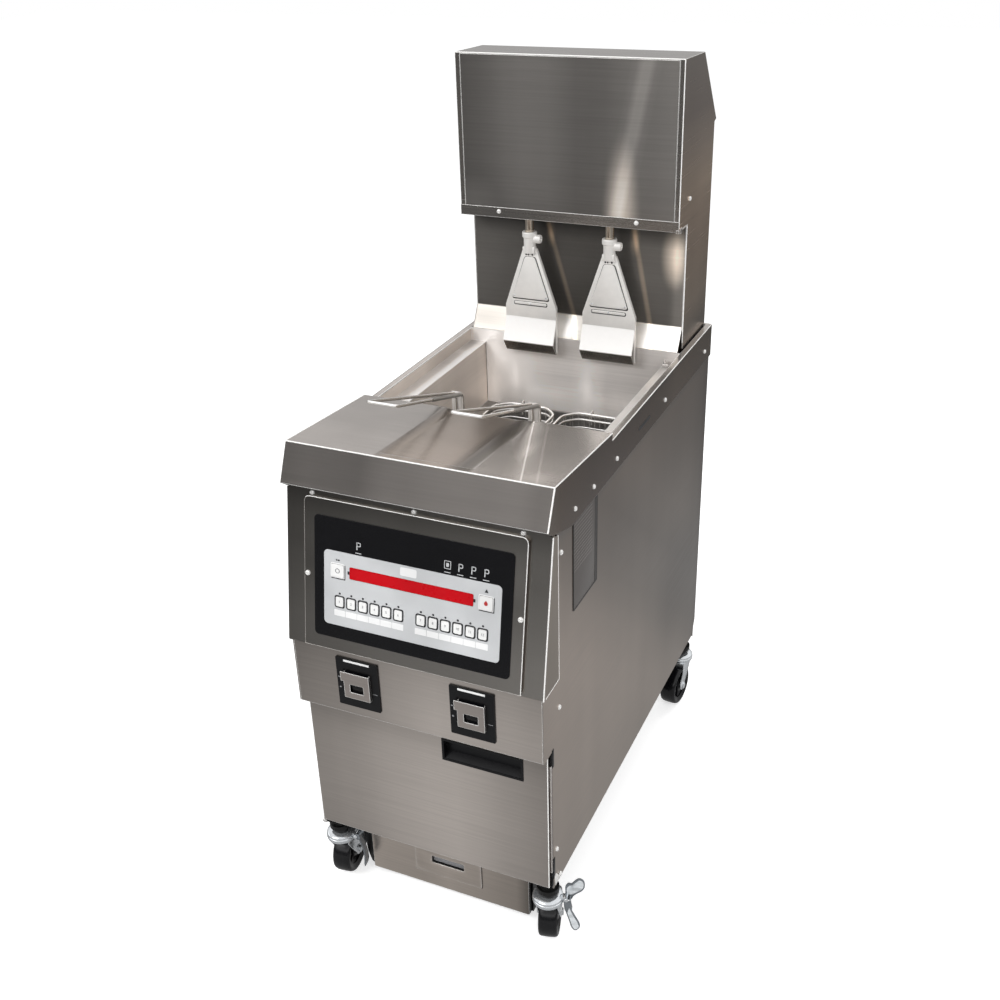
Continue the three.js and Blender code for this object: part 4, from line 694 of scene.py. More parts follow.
SIDE_X = 250.2
APRON_X = 252.5
PANEL_SCREWS = ((-431, 872), (-444, 564), (-461, 247))
APRON_SCREWS = ((-372, 925), (-283, 924), (-163, 924), (126, 924), (411, 925))
for side, label in ((1, "right"), (-1, "left")):
    facing = (side, 0, 0)
    screws(f"panel_screws_{label}", [(side * SIDE_X, y, z) for y, z in PANEL_SCREWS], facing)
    screws(f"apron_screws_{label}", [(side * APRON_X, y, z) for y, z in APRON_SCREWS], facing, 4.6)
    screws(f"tower_side_screw_{label}", [(side * 236.5, 298, 1285)], facing, 4.6)
screws("tower_strip_screws", [(-149, 230.7, 1245.5), (149, 230.7, 1245.5)], (0, -1, 0), 4.8)
screws("rear_screws", [(x, 459, z) for x in (-232, 0, 232) for z in (190, 420, 650, 880)], (0, 1, 0),
       material="plated")
screws("tower_rear_screws", [(x, 458, z) for x in (-222, 222) for z in (1010, 1180, 1360)], (0, 1, 0),
       material="plated")

# Casters: smooth wheels, forks and brake levers

CASTERS = (
    ("front_left", -231, -460, 7, True), ("front_right", 231, -460, 15, True),
    ("rear_left", -231, 412, 190, False), ("rear_right", 231, 412, 174, False),
)
AXLE_Z = 49.76
TRAIL = 30
FORK_IN, FORK_OUT = 19.3, 21.8
AXLE = pointing((1, 0, 0), 0, TRAIL, AXLE_Z)


def mirrored(half):
    """The lower half of a profile of (radius, height), with its mirror image above it."""
    return half + [(radius, -height) for radius, height in half[::-1]]


TYRE = mirrored([(33, -15), (38, -16.6), (41, -18.6), (44.5, -19), (47.4, -17.6), (49.2, -13.4),
                 (49.7, -6)])
DISC = mirrored([(6.5, -16.6), (15, -16.6), (17, -15), (18, -10), (27, -8.5), (32, -11.5),
                 (33.4, -12.4)]) + [(6.5, -16.6)]
LEVER_PIN = mirrored([(0, -12), (3.4, -12), (4.2, -11), (2.6, -10.4)])
RACEWAY = [(0, 106.6), (24, 106.6), (27.4, 108), (29.6, 111), (30.4, 114.5), (30.4, 118), (29, 119.6),
           (29.4, 121), (29.2, 123.4), (27, 125.6), (21, 127.8), (0, 127.8)]
AXLE_BOLT = [(0, 0), (8, 0), (8, 3.6), (6.6, 4.6), (0, 4.6)]
WASHER = [(0, -0.4), (10, -0.4), (10, 0.7), (0, 0.7)]
# One leg of a fork in (y, z): broad below the raceway, rounded about the axle
LEG = [(-17, 112), (-15, 100), (6, 66),
       *((TRAIL + 12 * cos(radians(a)), AXLE_Z + 12 * sin(radians(a)))
         for a in range(185, 361, 25)),
       (TRAIL + 13, 62), (29, 84), (28, 112)]
# The wing lever: its upper blade stands behind and its foot in front, each with a face of painted
# highlight
WING_BLADE = ((33, 118), (32, 140), (38, 150), (45, 148), (50, 156), (58, 164), (66, 162), (70, 153),
              (70, 141), (64, 131), (56, 125), (48, 117), (44, 107), (32, 105))
WING_BLADE_HIGHLIGHT = ((40.5, 144), (46, 144.5), (52, 152), (59.5, 160), (65.5, 157.5), (68, 151),
                   (67.5, 142), (62, 134), (53.5, 128), (44, 121), (36.5, 119), (35, 136))
WING_FOOT = ((31, 118), (46, 118), (44, 107), (46, 97), (52, 84), (59, 70), (63, 59), (62, 52),
             (55, 44), (50, 45), (45, 53), (41, 70), (36, 88), (32, 100))
WING_FOOT_HIGHLIGHT = ((42, 103), (44, 96), (50, 82), (57, 68), (60.5, 57), (60, 52.5), (54.5, 47),
                  (51.5, 48), (47.5, 55), (43.5, 71), (38, 90))
LEVER_CHEEK = [(31, 118), (40, 114), (45, 116), (46, 124), (42, 129), (33, 127)]


def paddle_shape(path, widths):
    """A bent strip 2.4 thick: a path of (x, z) with its half widths along y."""
    shape = bmesh.new()
    rows = []
    for i, ((x, z), half) in enumerate(zip(path, widths)):
        before = Vector(path[max(i - 1, 0)])
        after = Vector(path[min(i + 1, len(path) - 1)])
        along = (after - before).normalized()
        across = Vector((-along.y, along.x)) * 1.2
        rows.append([shape.verts.new((x + side * across.x, y, z + side * across.y))
                     for side, y in ((1, -half), (1, half), (-1, half), (-1, -half))])
    for a, b in zip(rows, rows[1:]):
        for i in range(4):
            j = (i + 1) % 4
            shape.faces.new((a[i], a[j], b[j], b[i]))
    shape.faces.new(rows[0])
    shape.faces.new(rows[-1][::-1])
    bmesh.ops.recalc_face_normals(shape, faces=shape.faces)
    return shape


def wheel(body, axle):
    add_mesh(body + "_tyre", lathe_shape(TYRE, 64, axle), "rubber", body, [body], 50)
    add_mesh(body + "_disc", lathe_shape(DISC, 48, axle), "black_gloss", body)
    ribs = []
    for i in range(5):
        for side in (-1, 1):
            rib = box_shape(17, 32.5, -1.6, 1.6, side * 10.5 - 2.2, side * 10.5 + 2.2, 0.5)
            rib.transform(axle @ Matrix.Rotation(radians(72 * i), 4, "Z"))
            ribs.append(rib)
    merged(body + "_ribs", ribs, "black_gloss", body, "tyre")


def fork_shapes(has_lever):
    shapes = [lathe_shape(RACEWAY, 64)]
    for low, high in ((-FORK_OUT, -FORK_IN), (FORK_IN, FORK_OUT)):
        shapes.append(sheet_shape(LEG, low, high, bevel=0.9, place=AXES["x"]))
    shapes.append(box_shape(-FORK_OUT, FORK_OUT, -17, 28, 106.8, 110.4, 1.5))
    for side in (-1, 1):
        end = pointing((side, 0, 0), side * FORK_OUT, TRAIL, AXLE_Z)
        shapes += [lathe_shape(AXLE_BOLT, 6, end), lathe_shape(WASHER, 32, end)]
    shapes.append(lathe_shape([(0, -21.5), (5, -21.5), (5, 21.5), (0, 21.5)], 20, AXLE))
    if has_lever:
        shapes.append(box_shape(26, 37, -6.5, 6.5, 111, 124, 1.2))
        shapes.append(lathe_shape(LEVER_PIN, 20, pointing((0, 1, 0), 36, 0, 122)))
    return shapes


def wing_lever_shapes():
    shapes = [sheet_shape(rounded_outline(outline, 4, 4), low, high, bevel=0.9, place=AXES["y"])
              for outline, low, high in ((WING_BLADE, -9.6, -7.2), (WING_FOOT, 7.2, 9.6))]
    return shapes + [paddle_shape([(43, 120), (42, 104), (45, 88)], [8, 8, 8])]


def paddle_lever_shapes():
    shapes = [
        paddle_shape([(41, 117), (42.5, 124), (47, 132), (53, 139), (58, 144.5)],
                     [10, 9, 10.5, 11.5, 8]),
        paddle_shape([(42.5, 124), (42.6, 116), (46, 102), (50, 86), (51.6, 68), (51, 52),
                      (49.6, 42)], [9, 9.5, 8, 7.5, 9, 11, 8]),
    ]
    for y in (-9.4, 9.4):
        shapes.append(sheet_shape(LEVER_CHEEK, y - 1.1, y + 1.1, place=AXES["y"]))
    for shape in shapes:
        soften(shape, 0.8)
    return shapes


def caster(name, x, y, yaw, has_lever):
    turn = move((x, y, 0)) @ Matrix.Rotation(radians(yaw), 4, "Z")
    fork_body = "caster_" + name
    wheel("caster_wheel_" + name, turn @ AXLE)

    def placed(piece, shapes, material, body, replaces=(), angle=50):
        for shape in shapes:
            shape.transform(turn)
        merged(piece, shapes, material, body, "zinc", replaces, angle)

    placed(fork_body + "_frame", fork_shapes(has_lever), "plated", fork_body,
           ["caster_fork_" + name], 35)
    if not has_lever:
        return
    lever = "brake_lever_" + name
    if name == "front_right":
        # Faces of painted highlight on the wing lever, over plates in painted shade
        faces = [sheet_shape(rounded_outline(outline, 3, 4), low, high, bevel=0.25, place=AXES["y"])
                 for outline, low, high in ((WING_BLADE_HIGHLIGHT, -7.4, -6.8), (WING_FOOT_HIGHLIGHT, 9.4, 10))]
        placed(lever + "_faces", faces, "highlight_zinc", lever)
    placed(lever + "_plate", wing_lever_shapes() if name == "front_right" else paddle_lever_shapes(),
           "shaded_zinc", lever, [lever])


for row in CASTERS:
    caster(*row)

# Lift arms: chromed rods, flared hangers with a folded nose and a raised panel

HANGER_X = 88
HANGER_HALF = 58
HANGER_Y = 247
HANGER_FRONT = HANGER_Y - 1.25
SEAT = HANGER_FRONT + 0.4
HANGER_FACE = [(-14.5, 1170), (-HANGER_HALF, 1042), (-HANGER_HALF, 1013), (HANGER_HALF, 1013),
               (HANGER_HALF, 1042), (14.5, 1170)]
# The folded nose: its upper and its lower face, each a profile in (y from the front, z)
NOSE_BEND = (-18.6, 966)
NOSE_TOP = [(0, 1017), (-1, 1012), NOSE_BEND, (-15, 966.4), (2.4, 1010), (2.5, 1017)]
NOSE_UNDER = [NOSE_BEND, (-1.6, 941), (0, 939), (3, 939.4), (1.4, 943), (-15, 966.4)]
COLLAR = [(0, 1160), (11.5, 1160), (12.4, 1163), (12.4, 1188), (13, 1192), (15.4, 1194.5),
          (15.4, 1203.4), (14.4, 1204.8), (9.6, 1204.8), (9.6, 1200), (0, 1200)]
LUG = [(0, 8), (7.6, 8), (9, 9.4), (9, 23.6), (7.8, 25.6), (4.4, 25.8), (3.6, 23.4), (0, 23.4)]
ROD = [(0, 1174), (8.9, 1174), (9.4, 1175), (9.4, 1522), (8.6, 1523.6), (0, 1523.6)]
RIVET = [(0, 1.3), (1.2, 1.2), (2.0, 0.4), (2.2, 0), (0, -0.2)]


def trapezoid(grow):
    foot, head = 42 + grow, 11 + grow
    return rounded_outline([(-head, 1151 + grow), (-foot, 1059 - grow), (foot, 1059 - grow),
                            (head, 1151 + grow)], 6)


def hanger(side, x):
    body = "lift_" + side
    here = move((x, 0, 0))
    left, right = x - HANGER_HALF, x + HANGER_HALF
    y0 = HANGER_FRONT

    def piece(part, shapes, material, **settings):
        merged(f"hanger_{side}_{part}", shapes, material, body, "hanger_steel", **settings)

    def relief(part, outline, out, material, bevel=0.0, place=here):
        plate(f"hanger_{side}_{part}", outline, y0 - out, SEAT, "y", material, body, "hanger_steel",
              bevel=bevel, place=place)

    # The nose's upper face carries a painted highlight and its lower face painted shade
    for part, profile, material in (("nose_top", NOSE_TOP, "highlight_steel"),
                                    ("nose_under", NOSE_UNDER, "shaded_steel")):
        face = sheet_shape([(y0 + y, z) for y, z in profile], -HANGER_HALF, HANGER_HALF,
                           place=AXES["x"])
        face.transform(here)
        piece(part, [face], material, angle=10)
    # The nose's edge lines in painted shade
    wires(f"hanger_{side}_nose_edge",
          [[(left, y0 - 18.4, 966), (right, y0 - 18.4, 966), (right, y0 - 0.4, 940)],
           [(left, y0 - 0.4, 940), (right, y0 - 0.4, 940)]], 0.8, "shaded_edge", body, "hanger_steel")
    shapes = [sheet_shape(HANGER_FACE, -y0 - 2.5, -y0, bevel=0.7, place=AXES["y"])]
    for s in (-1, 1):
        rim = [(s * 14.5, 1168), (s * HANGER_HALF, 1042), (s * HANGER_HALF, 940), (s * 55.5, 940),
               (s * 55.5, 1041.4), (s * 12.2, 1168)]
        shapes.append(sheet_shape(rim, -y0 - 9.8, -y0 - 0.6, bevel=0.6, place=AXES["y"]))
    for shape in shapes:
        shape.transform(here)
    piece("sheet", shapes, "satin_steel", replaces=["lift_hanger_" + side])
    # A painted shadow round the raised panel, set a little to the right of it and lower
    relief("panel_shadow", trapezoid(1.5), 0.25, "mark_black", place=here @ move((0.7, 0, -0.9)))
    relief("panel", trapezoid(0), 1.3, "satin_steel", 0.8)
    relief("bar_shadow", rounded(-38.4, 38.6, 1043.6, 1052.4, 3.5), 0.25, "mark_black")
    relief("bar", rounded(-37, 37, 1045.8, 1051.6, 2.8), 1.5, "satin_steel", 0.8)
    piece("rivets", [lathe_shape(RIVET, 16, here @ pointing((0, -1, 0), rx, y0 - 1.2, rz))
                     for rx, rz in ((-36, 1064), (36, 1064), (0, 1048.7))], "plated")
    piece("neck_marks", [box_shape(x + rx - 1.6, x + rx + 1.6, y0 - 0.35, y0 + 0.2, 1153.5, 1158, 0.2)
                         for rx in (-8, -3, 6)], "mark_black")
    centre = move((x, HANGER_Y, 0))
    boss = box_shape(-14, 14, -9, 6, 1159, 1174, 3)
    boss.transform(centre)
    piece("collar", [lathe_shape(COLLAR, 48, centre),
                     lathe_shape(LUG, 32, centre @ pointing((1, 0, 0), 0, 0, 1190)), boss], "satin_steel")
    add_mesh(f"rod_{side}", lathe_shape(ROD, 48, centre), "rod_metal", body, ["lift_rod_" + side])


hanger("left", -HANGER_X)
hanger("right", HANGER_X)

# Baskets: a wire cage with a heavy rim, a hook plate and a long handle

BASKET_HALF = 75
BASKET_FRONT = -95
BASKET_REAR = 222
RIM_Z = 823
FLOOR_Z = 673
RING_HEIGHTS = (792, 774, 756, 738, 720, 702, 686)
WIRE_PITCH = 12
HANDLE_Y = -98.2


def ring(x, z, inset, chamfer):
    """A closed loop round the basket, its rear corners cut off."""
    x0, x1 = x - BASKET_HALF + inset, x + BASKET_HALF - inset
    y0, y1 = BASKET_FRONT + inset, BASKET_REAR - inset
    points = [(x0, y0, z), (x1, y0, z), (x1, y1 - chamfer, z), (x1 - chamfer, y1, z),
              (x0 + chamfer, y1, z), (x0, y1 - chamfer, z)]
    return rounded_path(points, 12, closed=True, steps=4)


def basket(side, x, loop_x, loop_z):
    body = "basket_" + side

    def bent(part, paths, radius, material="wire_metal", **settings):
        wires(f"basket_{side}_{part}", paths, radius, material, body, "wire", **settings)

    bent("rim", [ring(x, RIM_Z, 3, 28)], 3, closed=True, replaces=[body])
    bent("second_rim", [ring(x, RIM_Z - 13, 4.4, 27)], 2.3, closed=True)
    rings = [ring(x, z, 5, 26) for z in RING_HEIGHTS]
    bent("rings", rings + [ring(x, FLOOR_Z, 7, 25)], 1.5, closed=True, resolution=2)
    floor_z = FLOOR_Z + 1
    uprights = []
    for i in range(25):
        y = BASKET_FRONT + 14 + i * WIRE_PITCH
        half = 70 - max(0.0, y - (BASKET_REAR - 26))
        uprights.append([(x - half, y, RIM_Z), (x - half, y, floor_z), (x + half, y, floor_z),
                         (x + half, y, RIM_Z)])
    for i in range(12):
        u = x - 66 + i * WIRE_PITCH
        rear = BASKET_REAR - 5 - max(0.0, abs(u - x) - 47)
        uprights.append([(u, BASKET_FRONT + 5, RIM_Z), (u, BASKET_FRONT + 5, floor_z),
                         (u, rear, floor_z), (u, rear, RIM_Z)])
    bent("mesh", [rounded_path(path, 6, steps=3) for path in uprights], 0.9, resolution=1)

    hook_x = x - 14
    root = hook_x + 5
    left, right = ([(root + s * 8, HANDLE_Y, 752), (root + s * 8, HANDLE_Y, 975),
                    (loop_x + s * 29, HANDLE_Y - 316, loop_z)] for s in (-1, 1))
    bent("handle", [rounded_path(left + right[::-1], 9, steps=8)], 2.9)
    foot, end = Vector(right[1]), Vector(right[2])
    bent("sleeves", [[tuple(foot.lerp(end, share)) for share in (0.04, 0.27, 0.5)]], 4.1, "sleeve_metal")
    gusset = [(hook_x - 12, 934), (hook_x + 12, 934), (hook_x + 12, 974), (hook_x + 6, 977),
              (hook_x - 12, 977)]
    plate(f"basket_{side}_hook_plate", gusset, HANDLE_Y + 2.6, HANDLE_Y + 5, "y", "gusset_steel", body,
          "wire", bevel=0.6)
    bent("straps", [[(root - 15, BASKET_FRONT + 2, z), (root - 9, HANDLE_Y - 2.6, z),
                     (root + 9, HANDLE_Y - 2.6, z), (root + 15, BASKET_FRONT + 2, z)]
                    for z in (812, 768)], 1.8)
    hook = [(hook_x, BASKET_REAR - 3, 800), (hook_x, BASKET_REAR - 3, 829),
            (hook_x, BASKET_REAR + 5, 829), (hook_x, BASKET_REAR + 5, 821)]
    bent("rear_hook", [rounded_path(hook, 3, steps=5)], 1.8)


basket("left", -86, -80, 1082)
basket("right", 76, 79, 1087)

# Control panel: everything is placed down the slanted face, s millimetres from its top edge

TILT = atan2(51, 291)
FACE = move((0, -470, 922)) @ Matrix.Rotation(-TILT, 4, "X")
OVERLAY = -8.5
FIELD = -8.95
KEY_FRONT = -10.1
BANK_X = 81
KEY_PITCH = 23.6
KEY_S = 194.5
POWER_X = 144
POWER_S = 136
PANEL = ("cabinet", "black_plastic")
WHITE = ("cabinet", "key_white")
key_places = [(bank * BANK_X + (i - 2.5) * KEY_PITCH, KEY_S) for bank in (-1, 1) for i in range(6)]
power_places = [(-POWER_X, POWER_S), (POWER_X, POWER_S)]


def box_loop(u, s, width, height, radius):
    return rounded(u - width / 2, u + width / 2, -s - height / 2, -s + height / 2, radius, 4)


def frame_shape(u, s, outer, inner, out, depth, radius):
    """A flat frame whose front stands depth before the plane out."""
    return sheet_shape(box_loop(u, s, *outer, radius), -out, depth - out,
                       [box_loop(u, s, *inner, radius * 0.6)], place=FACE @ AXES["y"])


def mark(u0, u1, v0, v1, radius, out=FIELD, depth=0.3):
    """A flat rounded mark whose front stands depth before the plane out."""
    return sheet_shape(rounded(u0, u1, v0, v1, radius), -out, depth - out, place=FACE @ AXES["y"])


field_holes = [box_loop(u, s, 16.4, 19.4, 2.6) for u, s in key_places]
field_holes += [box_loop(u, s, 25.4, 25.4, 2.6) for u, s in power_places]
field_holes.append(box_loop(0, POWER_S, 241, 23, 2.4))
plate("control_field", rounded(-172, 172, -241, -99.5, 8), FIELD, OVERLAY + 0.05, "y", "field_grey",
      *PANEL, holes=field_holes, place=FACE)
merged("product_key_frames", [frame_shape(u, s, (20.4, 23.4), (16.4, 19.4), FIELD, 0.5, 4)
                              for u, s in key_places], "mark_black", *PANEL)
merged("power_key_frames", [frame_shape(u, s, (29, 29), (25.2, 25.2), FIELD, 0.35, 4)
                            for u, s in power_places], "label_white", *WHITE)
merged("power_key_shades", [shade for u, s in power_places for shade in (
    mark(u - 13, u + 15, -s - 15.6, -s - 13.8, 0.8, depth=0.45),
    mark(u + 13.8, u + 15.4, -s - 15.6, -s + 12, 0.7, depth=0.45))], "mark_black", *PANEL)
LAMP = [(0, 0.9), (1.2, 0.75), (1.9, 0.3), (2.1, 0), (0, -0.2)]
merged("key_lamps", [lathe_shape(LAMP, 16, FACE @ pointing((0, -1, 0), u, FIELD, -s + 15.5))
                     for u, s in key_places], "mark_black", *PANEL)
cell_starts = [bank * BANK_X - 70 + i * 23.4 for bank in (-1, 1) for i in range(6)]
merged("label_cells", [mark(u, u + 22.6, -222, -210.5, 0.8, depth=0.35) for u in cell_starts],
       "label_white", *WHITE)
for number, (u, s) in enumerate(key_places, 1):
    digit = text_shape(str(number), 4.6, 0.3)
    digit.transform(FACE @ move((u, KEY_FRONT - 0.1, -s)))
    merged(f"key_number_{number:02d}", [digit], "key_grey", f"product_key_{number:02d}", "key_white")
DROP = [(0, 5), (-3.4, 0.5), (-3, -3.2), (0, -4.6), (3, -3.2), (3.4, 0.5)]
for name, u, material, outline, holes in (
    ("left", -POWER_X, "key_grey", circle(4.6), [circle(3.4)]), ("right", POWER_X, "mark_red", DROP, []),
):
    place = FACE @ move((u, KEY_FRONT - 0.05, -POWER_S)) @ AXES["y"]
    merged(f"power_sign_{name}", [sheet_shape(outline, 0, 0.3, holes, place=place)], material,
           f"power_key_{name}", "key_white")
arrow = sheet_shape([(140.5, -117), (147.5, -117), (144, -110.5)], -FIELD, 0.3 - FIELD,
                    place=FACE @ AXES["y"])
merged("field_marks", [arrow, mark(-147.5, -144.6, -117.5, -114.5, 0.8),
                       mark(-143.6, -140.2, -117.5, -114.5, 0.8),
                       mark(-124, -120.6, -139, -133, 0.6), mark(120.6, 124, -139, -133, 0.6)],
       "mark_black", *PANEL)
signs = []
for u, boxed in ((-103, False), (70, True), (94, False), (118, False), (142, False)):
    if boxed:
        signs.append(frame_shape(u, 82, (13, 15), (10.6, 12.6), OVERLAY, 0.3, 1.6))
        signs.append(mark(u - 2.6, u + 2.6, -85.5, -78.5, 1, OVERLAY))
    else:
        signs.append(frame_shape(u + 0.8, 79.6, (8.4, 8), (5.4, 5), OVERLAY, 0.3, 2.6))
        signs.append(mark(u - 3.6, u - 1.6, -90, -75.8, 0.8, OVERLAY))
    signs.append(mark(u - 6, u + 6, -96.2, -94.8, 0.5, OVERLAY))
merged("panel_signs", signs, "field_grey", *PANEL)
merged("field_patch", [mark(-20, 12, -119, -103.5, 3, depth=0.15)], "label_white", *WHITE)
merged("panel_face_screws",
       [screw_shape(5, 3.2, FACE @ pointing((0, -1, 0), u, -out, -s))
        for u, s, out in ((-201, 3, 0), (0, 3, 0), (201, 3, 0), (-207, 153, 7), (207, 153, 7))],
       "screw_metal", angle=50)

# Switch plates: bare label bars and small marks

for side, x in (("left", -115.5), ("right", 115.5)):
    merged(f"switch_label_{side}", [box_shape(x - 26.5, x + 26.5, -518.5, -517.7, 606.8, 611.2, 0.2)],
           "label_white", *WHITE)
    merged(f"switch_dashes_{side}", [box_shape(x - 41, x - 36.5, -518.3, -517.7, 569, 571.4, 0.2),
                                     box_shape(x - 40, x - 36, -518.3, -517.7, 546, 549, 0.2),
                                     box_shape(x + 30, x + 40, -518.2, -517.7, 547.6, 548.8, 0.2)],
           "key_grey", *PANEL)

# Filter pan: a steel front with a raised middle and a hand slot

PAN = ("filter_pan", "black_paint")
plate("pan_front", rounded(-177, 177, 17.2, 129, 3), -430.2, -428.6, "y", "pan_steel", *PAN,
      holes=[rounded(-72, 72, 53, 126, 2)], bevel=0.5)
plate("pan_boss", rounded(-75, 75, 50, 128.6, 4), -433, -430.4, "y", "pan_steel", *PAN,
      holes=[rounded(-36, 36, 82, 99, 2)], bevel=0.8)
merged("pan_slot_lip", [box_shape(-35.5, 35.5, -431.8, -424, 97.6, 98.9, 0.3),
                        box_shape(-35.5, 35.5, -427.5, -424.5, 83, 98, 0.4)], "key_grey", *PAN)

# Painted highlights: bright wires laid along the bends of the sheets, where the studio light catches
# them;
# the darker wires along the left rail's edge and along the flange are painted shade, and the line in the
# pot's corner is its seam

DECK_EDGE = 252.2
for name, radius, material, paths in (
    ("deck_front_highlight", 1.3, "highlight_steel", [[(-DECK_EDGE, -459.8, 1005.6), (DECK_EDGE, -459.8, 1005.6)]]),
    ("deck_corner_highlight", 1.5, "highlight_steel", [[(DECK_EDGE, -460, 1005.4), (DECK_EDGE, -490.6, 938.6)]]),
    ("deck_side_highlights", 1.1, "highlight_steel", [
        [(x, -460, 1005.5), (x, -188, 984.6)] for x in (DECK_EDGE, -DECK_EDGE)]),
    ("rail_highlights", 1.0, "highlight_steel", [[(DECK_EDGE, -188, 970.7), (DECK_EDGE, 463, 970.7)],
                                     [(-240, -187, 970.7), (-240, 261, 970.7)]]),
    ("ledge_highlight", 1.1, "highlight_steel", [[(-205, -164, 942.8), (-205, 261, 942.8)]]),
    ("pot_seam", 0.7, "line_metal", [[(-204.6, 261.6, 803), (-204.6, 261.6, 941)]]),
    ("rail_left_shade", 0.7, "shaded_steel", [[(-252.4, -188, 970.6), (-252.4, 462, 970.6)]]),
    ("flange_shadow_line", 0.6, "shaded_edge", [[(-234.6, 288.4, 1019), (-234.6, 261.6, 972.4),
                                         (234.6, 261.6, 972.4)]]),
    ("housing_right_highlight", 1.3, "highlight_steel", [[(253.5, -470.8, 921), (253.5, -521.2, 629.5)]]),
    ("housing_rear_highlight", 0.8, "highlight_steel", [[(253.4, -450.6, 915), (253.4, -450.6, 630),
                                             (253.4, -512, 628.6)]]),
    ("tower_front_highlight", 1.3, "highlight_steel", [[(236.2, 288, 1233), (236.2, 288, 986)]]),
    ("tower_upper_highlights", 1.1, "highlight_steel", [[(236, 233.2, 1240), (236, 233.2, 1555.4)],
                                            [(-236, 233.2, 1555.4), (236, 233.2, 1555.4)]]),
):
    wires(name, paths, radius, material)
wires("door_right_highlight", [[(245.6, -489.3, 173), (245.6, -489.3, 483)]], 1.0, "highlight_steel", "door")

BEZEL_OUT = 6.6
bezel_ends = [FACE @ Vector((u, -BEZEL_OUT, -s))
              for u, s in ((-213.4, 292), (-213.4, 7.8), (213.4, 7.8), (213.4, 292))]
bezel_path = rounded_path(bezel_ends, 12)
# Painted highlight along the bezel's top and right edges, painted shade along its left and lower edges
wires("bezel_highlight", [bezel_path[4:]], 0.8, "highlight_steel")
wires("bezel_left_shade", [bezel_path[:5]], 0.6, "shaded_edge")
wires("bezel_low_shade", [[bezel_path[0], bezel_path[-1]]], 0.6, "shaded_edge")

# Data plate, vent slots and small fittings on the cabinet

plate("data_plate", rounded(-376, -258, 722, 905, 3), 250.3, 251, "x", "plate_metal", bevel=0.2)
plate("data_plate_edge", rounded(-271, -259, 725, 902, 1), 250.9, 251.25, "x", "dark_metal")
plate("data_plate_rim", rounded(-376, -258, 722, 905, 3), 250.7, 251.4, "x", "dark_metal",
      holes=[rounded(-373.4, -260, 725, 902, 2)])
merged("data_plate_lines", [box_shape(250.9, 251.2, -372, -284, z, z + 0.9, 0.1)
                            for z in range(800, 900, 7)], "line_metal")
for label, low, high in (("right", 252.45, 252.75), ("left", -252.75, -252.45)):
    plate(f"apron_slot_{label}", rounded(-39, 31, 924.5, 931.5, 3.4), low, high, "x", "mark_black")
merged("door_edge_strip", [box_shape(246.7, 250, -484, -478.4, 206, 458, 0.6)], "sheet_steel")
merged("door_edge_slots", [box_shape(246.9, 249.8, -482, -478.4, 459, 488, 0.4),
                           box_shape(246.9, 249.8, -482, -478.4, 170, 205, 0.4),
                           box_shape(249.6, 250.8, -479, -470, 186, 236, 0.4),
                           box_shape(249.6, 250.8, -479, -471, 452, 492, 0.4)], "black_plastic")
merged("door_corner_clip", [box_shape(-252, -242, -491, -474, 163.5, 170.5, 2)], "bright_steel")
plate("corner_bracket", [(-444, 163), (-470, 163), (-474, 188), (-466, 191)], 250.1, 251.2, "x",
      "satin_steel", bevel=0.4)
screws("corner_bracket_screw", [(250.8, -447, 173)], (1, 0, 0))
plate("pan_flare", [(-176, 128), (-200, 128), (-197, 98), (-192, 52), (-184, 27), (-176, 22)], -427.5,
      -425, "y", "black_paint", *PAN, bevel=0.6)
merged("tower_tab", [box_shape(236.5, 238, 238, 250, 1229, 1240, 0.5),
                     box_shape(231, 238, 229.6, 231, 1231, 1238, 0.5)], "sheet_steel", slot="tower_steel")
merged("pot_clip", [box_shape(206, 219, 248, 255, 944, 948.5, 1.2),
                    box_shape(209, 213.5, 249, 254, 946, 958, 1.6)], "bright_steel", slot="pot_steel")

# Studio: a pale floor lit around the fryer, and a soft sky that is darkest at the horizon

# The floor's brightness in reflections: metres from the cabinet's foot, and the level there
FLOOR_REACH = 14
FLOOR_LEVELS = ((0, 0.34), (0.3, 0.43), (0.6, 0.56), (0.95, 0.45), (1.6, 0.28), (3, 0.18), (4.5, 0.12),
                (5.6, 0.17), (7, 0.25), (14, 0.28))
CABINET_HALF = (0.25, 0.46, 0)
# The sky's brightness in reflections by height, from the horizon at 0 to straight up at 1
FRONT_SKY = ((0, 0.10), (0.2, 0.15), (0.25, 0.25), (0.3, 1.3), (0.44, 1.3), (0.54, 0.6), (0.7, 0.8),
             (1, 0.8))
REAR_SKY = ((0, 0.45), (0.34, 0.74), (0.5, 0.9), (1, 0.8))
LIGHTS = (
    ("key_light", (-1900, -2900, 3100), (0, 0, 900), 1.8, 90),
    ("fill_light", (3000, -1600, 2400), (0, 0, 700), 1.6, 45),
    ("rear_light", (600, 2600, 3300), (0, 0, 900), 2.2, 50),
)


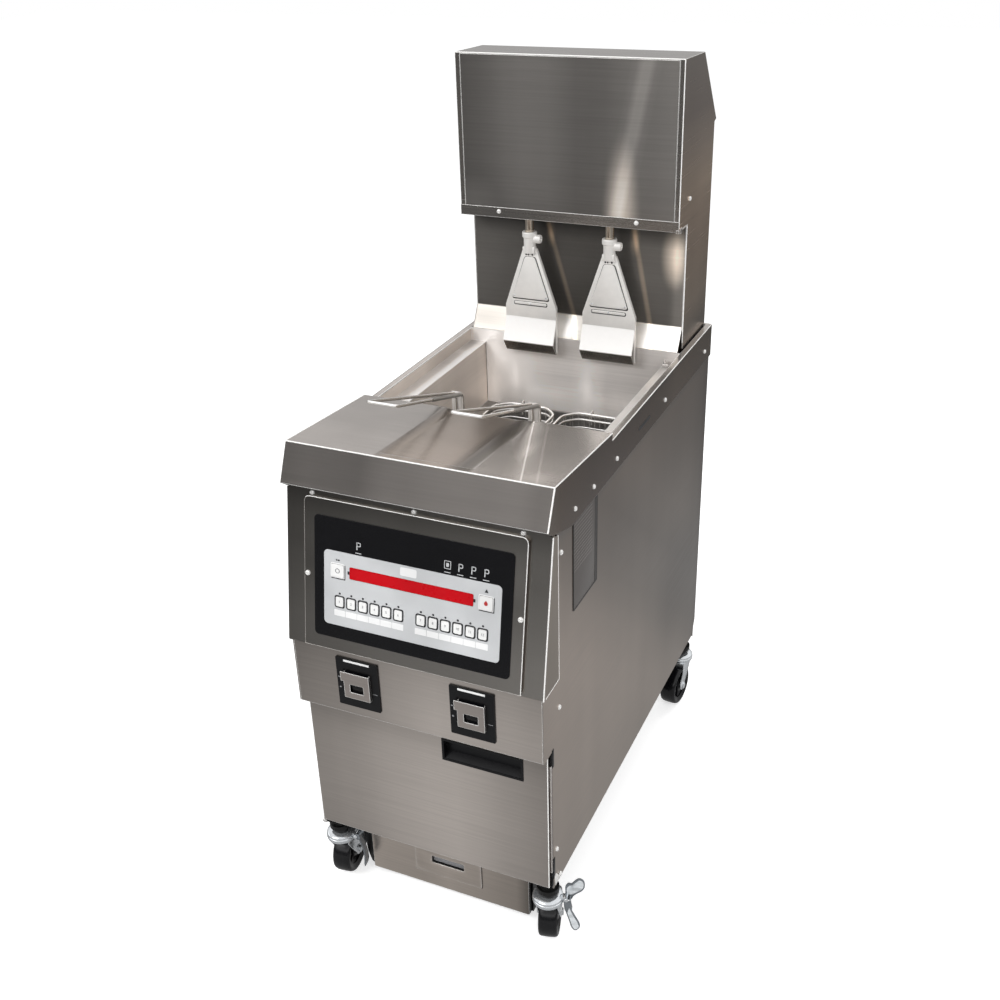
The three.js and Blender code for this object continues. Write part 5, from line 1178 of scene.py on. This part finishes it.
def floor_material():
    n, _ = new_material("floor")
    n.tree.nodes.remove(n.tree.nodes["Principled BSDF"])
    rays = n.add("LightPath").outputs
    away = n.vector("ABSOLUTE", n.add("NewGeometry").outputs["Position"])
    clear = n.vector("MAXIMUM", n.vector("SUBTRACT", away, CABINET_HALF), (0, 0, 0))
    reach = n.number("DIVIDE", n.vector("LENGTH", clear), FLOOR_REACH)
    level = n.color_ramp(reach, [(metres / FLOOR_REACH, value) for metres, value in FLOOR_LEVELS])
    lit = n.add("Emission", {"Strength": level}).outputs[0]
    pale = n.add("BsdfDiffuse", {"Color": (0.8, 0.8, 0.8, 1)}).outputs[0]
    lift = n.add("Emission", {"Strength": 0.62}).outputs[0]
    seen = n.add("AddShader", {0: pale, 1: lift}).outputs[0]
    by_camera = n.mix_shader(rays["Is Camera Ray"], pale, seen)
    n.feed(n.tree.nodes["Material Output"].inputs["Surface"],
           n.mix_shader(rays["Is Glossy Ray"], by_camera, lit))


def sky(tree):
    """What metal sees: a bright band before the fryer, a paler sky behind it and one soft box."""
    tree.nodes.clear()
    n = Nodes(tree)
    rays = n.add("LightPath").outputs
    direction = n.coordinates("Generated")
    height = n.parts(direction)
    turn = n.ramp(height["Y"], -0.1, 0.35, interpolation_type="SMOOTHSTEP")
    dome = n.mix(turn, n.color_ramp(height["Z"], FRONT_SKY), n.color_ramp(height["Z"], REAR_SKY))
    toward = n.vector("DOT_PRODUCT", direction, (-0.34, -0.61, 0.716))
    box = n.ramp(toward, 0.93, 0.985, 0, 1.5, interpolation_type="SMOOTHSTEP")
    summed = n.mix(1, dome, box, blend_type="ADD")
    glossy = n.add("Background", {"Color": summed}).outputs[0]
    ambient = n.add("Background", {"Color": (1, 1, 1, 1), "Strength": 0.55}).outputs[0]
    white = n.add("Background", {"Color": (1, 1, 1, 1), "Strength": 1}).outputs[0]
    by_gloss = n.mix_shader(rays["Is Glossy Ray"], ambient, glossy)
    n.add("OutputWorld", {"Surface": n.mix_shader(rays["Is Camera Ray"], by_gloss, white)})


def studio():
    ground = bmesh.new()
    bmesh.ops.create_grid(ground, x_segments=1, y_segments=1, size=14)
    mesh = bpy.data.meshes.new("floor")
    ground.to_mesh(mesh)
    ground.free()
    floor = linked("floor", mesh)
    floor_material()
    mesh.materials.append(LOOKS["floor"])

    world = bpy.data.worlds.new("world")
    bpy.context.scene.world = world
    world.use_nodes = True
    sky(world.node_tree)

    for name, place, target, size, energy in LIGHTS:
        lamp = bpy.data.lights.new(name, "AREA")
        lamp.shape = "SQUARE"
        lamp.size = size
        lamp.energy = energy
        thing = linked(name, lamp)
        thing.visible_glossy = False
        thing.location = at(*place)
        thing.rotation_mode = "QUATERNION"
        thing.rotation_quaternion = (at(*target) - at(*place)).to_track_quat("-Z", "Y")


studio()
